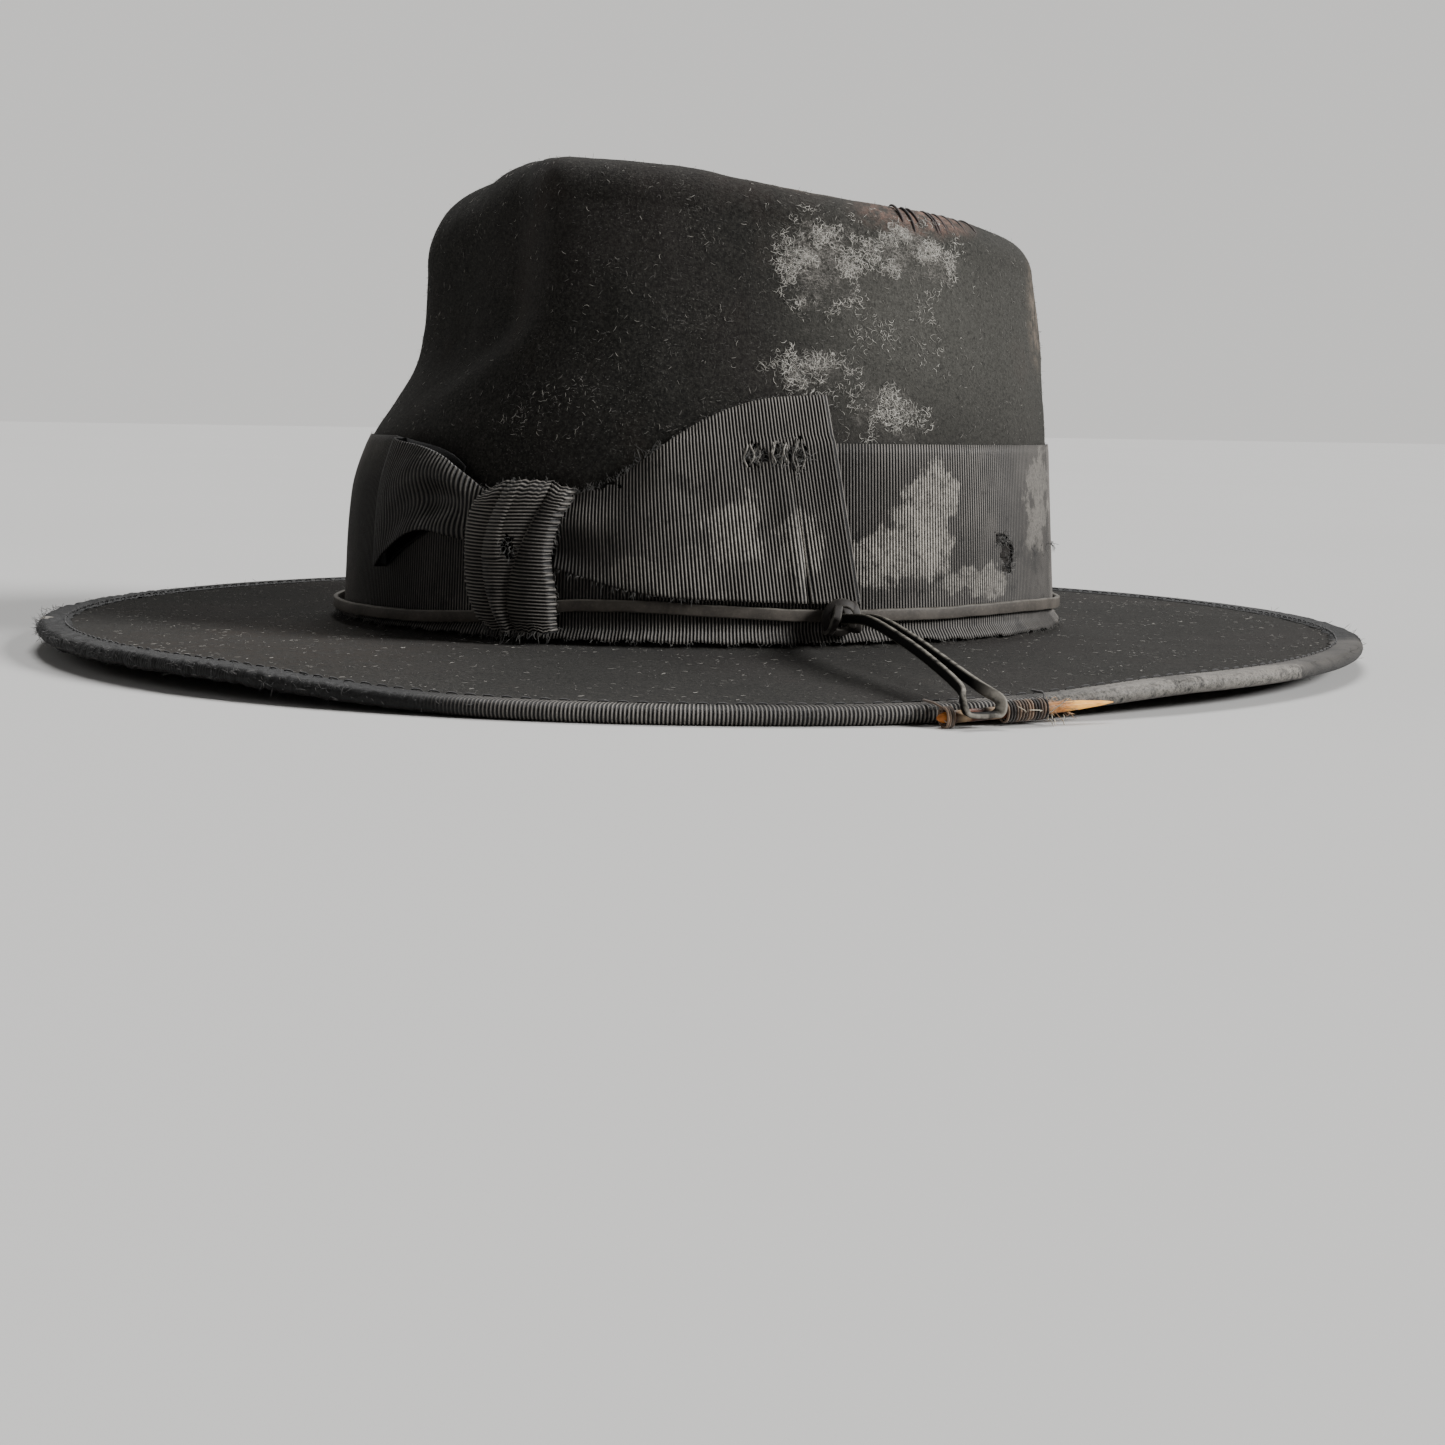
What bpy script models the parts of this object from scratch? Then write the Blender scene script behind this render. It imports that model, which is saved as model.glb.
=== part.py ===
"""Wide-brimmed felt hat: creased and pinched crown, grosgrain band and bow, leather lace, quill toggle.

Frame: millimetres here, metres in the scene.  The origin is the centre of the brim on the plane the
brim rests on.  +Z is up, -X is the front of the hat and -Y is the wearer's left, where the bow sits.
Bearings are angles about +Z from +X, so -90 degrees is the middle of the wearer's left side.
"""

import math

import bmesh
import bpy
import numpy as np

MM = 0.001
GAP = 0.3                      # air left between pieces that touch on the real hat
COLUMNS = 60                   # facets round the hat

# Brim and felt
BRIM_HALF_LENGTH = 192.0       # outside of the edge binding, front to back
BRIM_HALF_WIDTH = 176.0
FELT = 2.4                     # felt thickness
BINDING = 0.7                  # binding ribbon thickness
BINDING_REACH = 9.0            # how far the binding covers each face of the brim
SIDE_DROOP = 4.0               # how far the sides of the brim hang below its front and rear tips
DROOP_BLEND = (0.6, 1.0)       # squared sine of the bearing from no droop to full droop
DROOP_POWER = 1.4              # how the droop gathers towards the edge
BRIM_SHARES = (0.66, 0.33)     # rings of facets between the binding and the crown
BRIM_UNDER = SIDE_DROOP + BINDING + GAP
BRIM_TOP = BRIM_UNDER + FELT   # top of the brim where the crown stands on it
BREAK_RADIUS = 4.0             # fillet where the crown leaves the brim

# Crown: reach from the middle of the hat at each height, for the front, the rear and the two sides
FRONT_PROFILE = ((4.0, 105.8), (44.0, 103.2), (60.0, 97.8), (70.0, 91.4), (82.0, 85.4), (99.0, 83.0),
                 (129.0, 81.8))
REAR_PROFILE = ((4.0, 103.8), (61.0, 100.3), (84.0, 98.3), (107.0, 95.3), (129.0, 91.5))
SIDE_PROFILE = ((4.0, 88.8), (61.0, 86.0), (84.0, 81.0), (104.0, 75.5), (129.0, 69.0))
RIDGE_HEIGHT = ((-80.0, 133.2), (-62.0, 135.4), (-45.0, 135.4), (-26.0, 133.6), (0.0, 131.0), (40.0, 125.4),
                (67.0, 122.0), (98.0, 118.5))
SHOULDER_RADIUS = ((22.0, 24.0), (60.0, 11.0))   # rounding onto the top ridge, by bearing from the front
DENT_DEPTH = 29.0              # centre crease below the ridge
DENT_LENGTH = 0.62             # length of the crease floor as a share of the crown's length

# Front pinch: a hollow in each side of the crown behind the nose
PINCH_DEPTH = 8.5
PINCH_HEIGHTS = (64.0, 96.0)   # where the hollow starts and where it is fully deep
PINCH_REAR_BEARING = (40.0, 63.0)   # rear edge of the hollow, from the front, low and high on the wall
PINCH_REAR_BLEND = 18.0
PINCH_NOSE = (2.0, 30.0)       # the nose itself stays full between the two hollows

# Hatband, lace and bow, as offsets outward from the felt wall
BAND_LOW, BAND_TOP = 9.2, 60.6
BAND = 0.7
BAND_FLARE = ((9.2, 2.4), (12.0, 0.5), (24.0, GAP), (60.6, GAP))
BAND_GATHER_FROM = 30.0
BAND_GATHER = ((-150.0, 60.6), (-138.0, 57.5), (-126.0, 49.0), (-120.0, 46.0), (-112.0, 46.0), (-102.0, 49.0),
               (-96.0, 56.0), (-89.0, 60.6))    # (bearing, height of the top edge)
LACE_THICK, LACE_WIDE = 2.0, 3.2
LACE_HEIGHT = ((-180.0, 11.6), (-126.0, 13.4), (-106.0, 18.2), (-70.0, 16.2), (-35.0, 16.5), (0.0, 14.6),
               (90.0, 14.0), (180.0, 11.6))
RIBBON = 0.6                   # bow ribbon thickness
BOW_UNDER = GAP + BAND + 0.7 + RIBBON / 2    # middle of the bow's lower layer, resting on the hatband
KNOT_RIBBON = 0.8
KNOT_X = (-58.6, -35.6)        # front and rear edge of the bow's centre wrap
KNOT_LOW, KNOT_TOP = 10.4, 49.5
KNOT_OFFSET = ((10.4, 4.6), (18.0, 5.2), (30.0, 5.8), (42.0, 5.4), (47.0, 4.4), (49.5, 2.2))
KNOT_PLEATS = 4
KNOT_PLEAT_DEPTH = 1.1
KNOT_SLANT = 0.08

# Lace knot, loop and the quill that the loop hooks over
LACE_KNOT_X = 35.0
LACE_KNOT_OFFSET = 6.1
LACE_KNOT_SIZE = (5.4, 2.4, 5.2)    # half sizes along, out from and up the crown
LOOP_ROOT_OFFSET = 10.3
LOOP_THICK, LOOP_WIDE = 1.5, 2.8
QUILL_MIDDLE_X = 73.7
QUILL_LENGTH = 44.0
QUILL_RADIUS = 1.5
QUILL_OUT = 2.8                # quill axis outside the binding's edge
HOOK_FROM_MIDDLE = -12.5       # where the loop crosses the quill, along the quill
THREAD = 0.3                   # radius of the lashing and mending thread

# Inside the crown, as depths inward from the felt's outer face
REED_DEPTH, REED_RADIUS = 3.8, 0.9
REED_HEIGHT = 11.2
SWEATBAND_DEPTH, SWEATBAND = 5.2, 1.1
SWEATBAND_LOW, SWEATBAND_TOP = 10.4, 58.0
LINING_DEPTH, LINING = FELT + 0.4, 0.4
PIPING_RADIUS = 0.8


def curve_through(points, position):
    """Smooth curve through (position, value) pairs, held level past both ends."""
    places = [p[0] for p in points]
    values = [p[1] for p in points]
    if position <= places[0]:
        return values[0]
    if position >= places[-1]:
        return values[-1]
    last = len(points) - 1
    i = next(k for k in range(last) if position <= places[k + 1])
    span = places[i + 1] - places[i]

    def slope(k):
        before, after = max(k - 1, 0), min(k + 1, last)
        return (values[after] - values[before]) / (places[after] - places[before])

    t = (position - places[i]) / span
    start = (1 + 2 * t) * (1 - t) ** 2 * values[i] + t * (1 - t) ** 2 * span * slope(i)
    end = t * t * (3 - 2 * t) * values[i + 1] - t * t * (1 - t) * span * slope(i + 1)
    return start + end


def smooth_step(low, high, value):
    t = min(max((value - low) / (high - low), 0.0), 1.0)
    return t * t * (3 - 2 * t)


def straight(points, position):
    """Straight lines through (position, value) pairs."""
    return float(np.interp(position, [p[0] for p in points], [p[1] for p in points]))


# ---------------------------------------------------------------- the shape of the crown

def from_the_front(bearing):
    return 180.0 - abs((bearing + 180.0) % 360.0 - 180.0)


def pinch(bearing, height):
    from_front = from_the_front(bearing)
    rise = smooth_step(*PINCH_HEIGHTS, height)
    low, high = PINCH_REAR_BEARING
    rear_edge = low + (high - low) * rise
    inside = 1.0 - smooth_step(rear_edge - PINCH_REAR_BLEND, rear_edge, from_front)
    return PINCH_DEPTH * rise * inside * smooth_step(*PINCH_NOSE, from_front)


def wall(bearing, height, offset=0.0):
    """Point on the crown's wall; offset moves it outward."""
    angle = math.radians(bearing)
    profile = FRONT_PROFILE if math.cos(angle) < 0 else REAR_PROFILE
    offset -= pinch(bearing, height)
    reach = curve_through(profile, height) + offset
    half_width = curve_through(SIDE_PROFILE, height) + offset
    return np.array((reach * math.cos(angle), half_width * math.sin(angle), height))


def left_bearing(x):
    """Bearing on the wearer's left side of the wall at a place along the hat."""
    return -math.degrees(math.acos(x / (FRONT_PROFILE[0][1] if x < 0 else REAR_PROFILE[0][1])))


def edge_droop(bearing):
    return SIDE_DROOP * smooth_step(*DROOP_BLEND, math.sin(math.radians(bearing)) ** 2)


def brim_edge(bearing, height, inset=0.0):
    """Point near the brim's edge; height is as at the front tip, and the sides droop below it."""
    angle = math.radians(bearing)
    return np.array(((BRIM_HALF_LENGTH - inset) * math.cos(angle),
                     (BRIM_HALF_WIDTH - inset) * math.sin(angle), height - edge_droop(bearing)))


def ridge_at(bearing):
    return curve_through(RIDGE_HEIGHT, wall(bearing, 114.0)[0])


def shoulder_radius(bearing):
    return curve_through(SHOULDER_RADIUS, from_the_front(bearing))


def crown_top(bearing, turn):
    """Top of the crown: turn 0 to 1 goes round the shoulder, 1 to 2 goes down to the crease's floor."""
    ridge = ridge_at(bearing)
    radius = shoulder_radius(bearing)
    rim = wall(bearing, ridge - radius)
    floor = np.array((rim[0] * DENT_LENGTH, 0.0, 0.0))
    inward = floor - rim
    inward[2] = 0.0
    distance = float(np.linalg.norm(inward))
    arc = min(turn, 1.0) * math.pi / 2
    across = radius * (1 - math.cos(arc))
    height = ridge - radius + radius * math.sin(arc)
    if turn > 1.0:
        down = turn - 1.0
        across += down * (distance - radius)
        floor_height = curve_through(RIDGE_HEIGHT, floor[0]) - DENT_DEPTH
        height += (floor_height - ridge) * smooth_step(0.0, 1.0, down)
    point = rim + inward * (across / distance)
    point[2] = height
    return point


def wall_heights(bearing, low, shares):
    """Heights up the wall from low to the start of the shoulder."""
    top = ridge_at(bearing) - shoulder_radius(bearing)
    return [low + (top - low) * share for share in shares]


BEARINGS = [360.0 * k / COLUMNS - 180.0 for k in range(COLUMNS)]
WALL_SHARES = (0.14, 0.29, 0.45, 0.62, 0.8, 1.0)
BAND_ROWS = (12.0, 30.0, 48.0, BAND_TOP)
BREAK_TURNS = (0.0, 0.35, 0.7)
FIRST_BAND_ROW = 2 + len(BRIM_SHARES) + len(BREAK_TURNS)
SHOULDER_TURNS = (0.33, 0.67, 1.0)
DENT_TURNS = (1.3, 1.6, 1.82, 2.0)


def crown_rows():
    """Rows of points over the felt's outer face, from the brim's edge to the crease's floor."""
    felt_inset = BINDING + GAP
    rows = [[brim_edge(b, BRIM_TOP, felt_inset) for b in BEARINGS]]
    rows.append([brim_edge(b, BRIM_TOP, BINDING_REACH + 1.0) for b in BEARINGS])
    for share in BRIM_SHARES:
        row = []
        for b in BEARINGS:
            base = wall(b, BRIM_TOP, BREAK_RADIUS)
            point = base + (brim_edge(b, BRIM_TOP, BINDING_REACH + 1.0) - base) * share
            point[2] = BRIM_TOP - edge_droop(b) * share ** DROOP_POWER
            row.append(point)
        rows.append(row)
    for turn in BREAK_TURNS:
        arc = turn * math.pi / 2
        out = BREAK_RADIUS * (1 - math.sin(arc))
        up = BREAK_RADIUS * (1 - math.cos(arc))
        rows.append([wall(b, BRIM_TOP + up, out) for b in BEARINGS])
    rows += [[wall(b, z) for b in BEARINGS] for z in BAND_ROWS]
    heights = [wall_heights(b, BAND_TOP, WALL_SHARES) for b in BEARINGS]
    for k in range(len(WALL_SHARES)):
        rows.append([wall(b, heights[n][k]) for n, b in enumerate(BEARINGS)])
    for turn in SHOULDER_TURNS + DENT_TURNS:
        rows.append([crown_top(b, turn) for b in BEARINGS])
    return np.array(rows)


# ---------------------------------------------------------------- solids from points

def add_object(name, vertices, faces, material):
    mesh = bpy.data.meshes.new(name)
    mesh.from_pydata([tuple(float(c) * MM for c in v) for v in vertices], [], faces)
    work = bmesh.new()
    work.from_mesh(mesh)
    bmesh.ops.remove_doubles(work, verts=work.verts, dist=0.002 * MM)
    bmesh.ops.recalc_face_normals(work, faces=work.faces)
    work.to_mesh(mesh)
    work.free()
    mesh.materials.append(material)
    thing = bpy.data.objects.new(name, mesh)
    bpy.context.collection.objects.link(thing)
    mesh.shade_smooth()
    mesh.set_sharp_from_angle(angle=math.radians(40.0))
    return thing


def normals_of(grid, wraps):
    """Unit normals of a grid of points; wraps says that its columns close into a ring."""
    along_rows = np.gradient(grid, axis=0)
    if wraps:
        along_columns = np.roll(grid, -1, axis=1) - np.roll(grid, 1, axis=1)
    else:
        along_columns = np.gradient(grid, axis=1)
    normals = np.cross(along_columns, along_rows)
    lengths = np.linalg.norm(normals, axis=2, keepdims=True)
    return normals / np.maximum(lengths, 1e-9)


def crown_normals(grid):
    """Outward normals of the crown, level across the crease where its two sides meet."""
    normals = normals_of(grid, True)
    normals[-1] = normals[-2]
    normals[-1, :, 1] = 0.0
    normals[-1] /= np.linalg.norm(normals[-1], axis=1, keepdims=True)
    return normals


def sheet_faces(rows, columns, wraps, closed_end=False):
    """Faces of a sheet with two sides; the second side's points follow the first's.

    Every sheet is split along the same diagonals, so that nested sheets stay evenly apart.
    """
    side = rows * columns
    spans = columns if wraps else columns - 1
    faces = []
    for r in range(rows - 1):
        for c in range(spans):
            n = (c + 1) % columns
            low, low_next = r * columns + c, r * columns + n
            high, high_next = low + columns, low_next + columns
            for corners in ((low, low_next, high_next), (low, high_next, high)):
                faces.append(corners)
                faces.append(tuple(side + k for k in reversed(corners)))
    edges = [(c, (c + 1) % columns) for c in range(spans)]
    if not closed_end:
        last = (rows - 1) * columns
        edges += [(last + (c + 1) % columns, last + c) for c in range(spans)]
    if not wraps:
        edges += [(r * columns + columns - 1, (r + 1) * columns + columns - 1) for r in range(rows - 1)]
        edges += [((r + 1) * columns, r * columns) for r in range(rows - 1)]
    faces += [(b, a, a + side, b + side) for a, b in edges]
    return faces


def sheet(name, grid, thickness, material, wraps=False):
    """Ribbon, leather or felt sheet whose middle follows the grid."""
    grid = np.array(grid)
    normals = normals_of(grid, wraps) * thickness / 2
    rows, columns = grid.shape[:2]
    vertices = np.concatenate([(grid + normals).reshape(-1, 3), (grid - normals).reshape(-1, 3)])
    return add_object(name, vertices, sheet_faces(rows, columns, wraps), material)


def crown_shell(name, grid, normals, near, far, material, closed_end):
    """Shell between two depths under the crown's outer face."""
    rows, columns = grid.shape[:2]
    outer = (grid - normals * near).reshape(-1, 3)
    inner = (grid - normals * far).reshape(-1, 3)
    faces = sheet_faces(rows, columns, True, closed_end)
    return add_object(name, np.concatenate([outer, inner]), faces, material)


def sweep(name, path, section, material, closed=False, first_side=(0.0, 0.0, 1.0)):
    """Section carried along a path without twisting; section points are (side, across)."""
    path = np.array(path)
    count = len(path)
    if closed:
        tangents = np.roll(path, -1, axis=0) - np.roll(path, 1, axis=0)
    else:
        tangents = np.gradient(path, axis=0)
    tangents /= np.linalg.norm(tangents, axis=1, keepdims=True)
    side = np.array(first_side)
    vertices = []
    for point, tangent in zip(path, tangents):
        side = side - tangent * np.dot(side, tangent)
        side /= np.linalg.norm(side)
        across = np.cross(tangent, side)
        vertices += [point + side * u + across * v for u, v in section]
    ring = len(section)
    faces = []
    for k in range(count if closed else count - 1):
        a, b = k * ring, (k + 1) % count * ring
        faces += [(a + j, a + (j + 1) % ring, b + (j + 1) % ring, b + j) for j in range(ring)]
    if not closed:
        faces.append(tuple(reversed(range(ring))))
        faces.append(tuple((count - 1) * ring + j for j in range(ring)))
    return add_object(name, vertices, faces, material)


def round_section(radius, sides):
    turns = [2 * math.pi * k / sides for k in range(sides)]
    return [(radius * math.cos(t), radius * math.sin(t)) for t in turns]


def flat_section(side, across):
    half_side, half_across = side / 2, across / 2
    return [(half_side, half_across), (-half_side, half_across), (-half_side, -half_across),
            (half_side, -half_across)]


def spline(points, steps):
    """Catmull-Rom curve through points, with steps samples between neighbours."""
    points = np.array(points, dtype=float)
    ends = [2 * points[0] - points[1], *points, 2 * points[-1] - points[-2]]
    samples = []
    for a, b, c, d in zip(ends, ends[1:], ends[2:], ends[3:]):
        for k in range(steps):
            t = k / steps
            samples.append(0.5 * (2 * b + (c - a) * t + (2 * a - 5 * b + 4 * c - d) * t * t
                                  + (3 * b - a - 3 * c + d) * t ** 3))
    samples.append(points[-1])
    return samples


def material(name, colour, roughness, metallic=0.0):
    made = bpy.data.materials.new(name)
    made.use_nodes = True
    made.diffuse_color = (*colour, 1.0)
    shader = made.node_tree.nodes["Principled BSDF"]
    shader.inputs["Base Color"].default_value = (*colour, 1.0)
    shader.inputs["Roughness"].default_value = roughness
    shader.inputs["Metallic"].default_value = metallic
    return made


# ---------------------------------------------------------------- felt, binding and mending

def make_felt_body(grid, normals, felt):
    crown_shell("felt_body", grid, normals, 0.0, FELT, felt, True)


def make_brim_binding(ribbon):
    """Folded ribbon round the brim's edge, flat underneath."""
    bottom = BRIM_UNDER - GAP - BINDING
    top = BRIM_TOP + GAP + BINDING
    outer = ((0.0, bottom + 1.0), (0.0, top - 1.0), (1.0, top), (BINDING_REACH, top))
    slot = ((BINDING_REACH, top - BINDING), (BINDING, top - BINDING), (BINDING, bottom + BINDING),
            (BINDING_REACH, bottom + BINDING))
    profile = outer + slot + ((BINDING_REACH, bottom), (1.0, bottom))
    vertices = [brim_edge(b, z, inset) for b in BEARINGS for inset, z in profile]
    ring = len(profile)
    faces = []
    for k in range(COLUMNS):
        a, b = k * ring, (k + 1) % COLUMNS * ring
        faces += [(a + j, a + (j + 1) % ring, b + (j + 1) % ring, b + j) for j in range(ring)]
    add_object("brim_binding", vertices, faces, ribbon)


def make_binding_stitching(thread):
    height = BRIM_TOP + GAP + BINDING + GAP + THREAD
    path = [brim_edge(b, height, BINDING_REACH - 1.5) for b in BEARINGS]
    sweep("binding_stitching", path, round_section(THREAD, 4), thread, closed=True)


def make_mend_stitching(thread):
    """Whip stitches over the worn rear end of the left ridge, one thread."""
    first_x, last_x, stitches = 45.0, 70.0, 6
    low_turn, high_turn = 0.3, 0.95
    path = []
    for k in range(2 * stitches + 1):
        x = first_x + (last_x - first_x) * k / (2 * stitches)
        turns = (low_turn, high_turn) if k % 2 == 0 else (high_turn, low_turn)
        for step in range(4):
            turn = turns[0] + (turns[1] - turns[0]) * step / 4
            path.append(on_shoulder(x + (last_x - first_x) / (2 * stitches) * step / 4, turn))
    sweep("mend_stitching", path, round_section(THREAD, 5), thread)


def on_shoulder(x, turn):
    """Point just clear of the left shoulder."""
    bearing = -math.degrees(math.acos(x / wall(0.0, 108.0)[0]))
    clear = GAP + THREAD + 0.1
    step = 0.02
    here = crown_top(bearing, turn)
    rising = crown_top(bearing, turn + step) - here
    beside = crown_top(bearing + step, turn) - here
    normal = np.cross(beside, rising)
    return here + normal / np.linalg.norm(normal) * clear


# ---------------------------------------------------------------- hatband and bow

def band_height(bearing, height):
    """Height on the hatband, whose upper part is gathered down under the bow."""
    if height <= BAND_GATHER_FROM:
        return height
    share = (height - BAND_GATHER_FROM) / (BAND_TOP - BAND_GATHER_FROM)
    return BAND_GATHER_FROM + share * (curve_through(BAND_GATHER, bearing) - BAND_GATHER_FROM)


def make_hatband(ribbon):
    heights = (BAND_LOW,) + BAND_ROWS
    grid = [[wall(bearing, band_height(bearing, z), straight(BAND_FLARE, z) + BAND / 2) for bearing in BEARINGS]
            for z in heights]
    sheet("hatband", grid, BAND, ribbon, wraps=True)


def make_bow_rear_wing(ribbon):
    """Fan of ribbon from the knot towards the back; its end is folded under."""
    start_x, end_low_x, end_top_x = -37.5, 40.3, 31.6
    low = ((0.0, 27.5), (0.3, 21.6), (0.6, 20.2), (1.0, 19.2))
    high = ((0.0, 45.0), (0.2, 50.0), (0.4, 60.0), (0.57, 67.0), (0.76, 71.5), (1.0, 73.0))
    face = ((0.0, 2.6), (0.35, 4.2), (0.75, 3.9), (1.0, 3.2))
    under = BOW_UNDER
    fold = (face[-1][1] - under) / 2
    path = [(s, curve_through(face, s), 0.0) for s in (0, .12, .24, .36, .48, .6, .72, .84, .94, 1)]
    path.append((1.0, under + fold, fold))
    path += [(s, under, 0.0) for s in (1, .85, .7, .5)]
    grid = []
    for share in (0.0, 0.2, 0.4, 0.6, 0.8, 1.0):
        row = []
        for s, offset, beyond in path:
            end_x = end_low_x + (end_top_x - end_low_x) * share
            x = start_x + (end_x - start_x) * s + beyond
            z = curve_through(low, s) * (1 - share) + curve_through(high, s) * share
            row.append(wall(left_bearing(x), z, offset))
        grid.append(row)
    sheet("bow_rear_wing", grid, RIBBON, ribbon)


def make_bow_front_wing(ribbon):
    """Puffed loop from the knot round towards the front of the hat and back underneath."""
    start, end = -122.0, -144.0
    low = ((0.0, 32.0), (0.45, 36.0), (0.8, 30.0), (1.0, 25.0))
    high = ((0.0, 46.0), (0.4, 56.0), (1.0, 60.0))
    face = ((0.0, 3.0), (0.5, 7.2), (0.85, 7.0), (1.0, 5.8))
    under = BOW_UNDER
    fold = (face[-1][1] - under) / 2
    path = [(s, curve_through(face, s), 0.0) for s in (0, .15, .3, .45, .6, .75, .9, 1)]
    for turn in (30, 60, 90, 120, 150):
        arc = math.radians(turn)
        path.append((1.0, under + fold * (1 + math.cos(arc)), fold * math.sin(arc)))
    path += [(s, under, 0.0) for s in (1, .75, .5, .25)]
    around = (end - start) / 100.0 * 1.1
    grid = []
    for share in (0.0, 0.25, 0.5, 0.75, 1.0):
        row = []
        for s, offset, beyond in path:
            z = curve_through(low, s) * (1 - share) + curve_through(high, s) * share
            row.append(wall(start + (end - start) * s + around * beyond, z, offset))
        grid.append(row)
    sheet("bow_front_wing", grid, RIBBON, ribbon)


def make_bow_knot(ribbon):
    """Pleated wrap over the middle of the bow, down over the lace."""
    heights = (KNOT_LOW, 15.0, 20.0, 26.0, 33.0, 40.0, 45.0, 47.5, KNOT_TOP)
    per_pleat = 4
    columns = KNOT_PLEATS * per_pleat
    grid = []
    for z in heights:
        row = []
        for k in range(columns + 1):
            across = k / columns
            x = KNOT_X[0] + (KNOT_X[1] - KNOT_X[0]) * across + KNOT_SLANT * (z - KNOT_LOW)
            pleat = abs(math.sin(math.pi * KNOT_PLEATS * across)) * KNOT_PLEAT_DEPTH
            row.append(wall(left_bearing(x), z, curve_through(KNOT_OFFSET, z) + pleat))
        grid.append(row)
    sheet("bow_knot", grid, KNOT_RIBBON, ribbon)


# ---------------------------------------------------------------- lace, loop and quill

def lace_offset(height):
    """Inner face of the lace, clear of the flared lower edge of the hatband."""
    return straight(BAND_FLARE, height - LACE_WIDE / 2) + BAND + GAP


def make_lace_band(leather):
    grid = []
    for side in (-0.5, 0.5):
        row = []
        for b in BEARINGS:
            middle = curve_through(LACE_HEIGHT, b)
            row.append(wall(b, middle + side * LACE_WIDE, lace_offset(middle) + LACE_THICK / 2))
        grid.append(row)
    sheet("lace_band", grid, LACE_THICK, leather, wraps=True)


def knot_frame(offset):
    """Place on the lace knot's line out from the crown, with the directions along and out."""
    bearing = left_bearing(LACE_KNOT_X)
    height = curve_through(LACE_HEIGHT, bearing)
    place = wall(bearing, height, offset)
    out = place - wall(bearing, height, 0.0)
    out /= np.linalg.norm(out)
    return place, np.cross((0.0, 0.0, 1.0), out), out


def make_lace_knot(leather):
    """Half hitch with three turns of lace, as a ribbed barrel."""
    place, along, out = knot_frame(LACE_KNOT_OFFSET)
    rings, sides = 13, 12
    vertices = []
    for r in range(rings):
        polar = math.pi * (r + 0.5) / rings
        swell = math.sin(polar) ** 0.6 * (1.0 + 0.08 * math.cos(6 * polar))
        height = -LACE_KNOT_SIZE[2] * math.cos(polar)
        for k in range(sides):
            turn = 2 * math.pi * k / sides
            vertices.append(place + along * LACE_KNOT_SIZE[0] * swell * math.cos(turn)
                            + out * LACE_KNOT_SIZE[1] * swell * math.sin(turn)
                            + np.array((0.0, 0.0, height)))
    faces = [tuple(range(sides)), tuple((rings - 1) * sides + k for k in reversed(range(sides)))]
    for r in range(rings - 1):
        for k in range(sides):
            n = (k + 1) % sides
            faces.append((r * sides + k, (r + 1) * sides + k, (r + 1) * sides + n, r * sides + n))
    add_object("lace_knot", vertices, faces, leather)


def quill_frame():
    """Middle of the quill, then its direction towards the back of the hat, outward and upward."""
    bearing = -math.degrees(math.acos(QUILL_MIDDLE_X / (BRIM_HALF_LENGTH + QUILL_OUT)))
    edge_height = (BRIM_TOP + BRIM_UNDER) / 2
    middle = brim_edge(bearing, edge_height, -QUILL_OUT)
    step = 5.0
    along = brim_edge(bearing + step, edge_height) - brim_edge(bearing - step, edge_height)
    along /= np.linalg.norm(along)
    out = np.cross(along, (0.0, 0.0, 1.0))
    out /= np.linalg.norm(out)
    return middle, along, out, np.cross(out, along)


def set_origin(thing, place):
    """Move an object's origin without moving its mesh."""
    shift = place * MM
    for vertex in thing.data.vertices:
        vertex.co = [vertex.co[k] - shift[k] for k in range(3)]
    thing.location = tuple(shift)


def make_lace_loop(leather):
    """Doubled lace from the knot out over the brim, its bight hooked down over the quill."""
    root = knot_frame(LOOP_ROOT_OFFSET)[0]
    middle, quill_along = quill_frame()[:2]
    hook = middle + quill_along * HOOK_FROM_MIDDLE
    run = hook - root
    run[2] = 0.0
    reach = float(np.linalg.norm(run))
    run /= reach
    beside = np.cross((0.0, 0.0, 1.0), run)
    drop = QUILL_RADIUS + GAP + LOOP_WIDE / 2 + 0.2
    edge = hook[2]
    strand = ((0.0, 1.3, root[2]), (18.0, 1.4, root[2] + 1.2), (40.0, 1.5, root[2] - 1.2),
              (58.0, 1.6, root[2] - 4.2), (reach - 4.0, 2.5, edge + 5.6), (reach + 2.0, 4.3, edge + 3.7),
              (reach + drop, 4.3, edge + 1.7), (reach + drop, 3.2, edge + 0.6), (reach + drop, 0.0, edge + 0.3))
    back = [(along, -across, height) for along, across, height in reversed(strand[:-1])]
    path = []
    for along, across, height in spline(list(strand) + back, 3):
        point = root + run * along + beside * across
        point[2] = height
        path.append(point)
    loop = sweep("lace_loop", path, flat_section(LOOP_WIDE, LOOP_THICK), leather)
    set_origin(loop, root)


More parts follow.
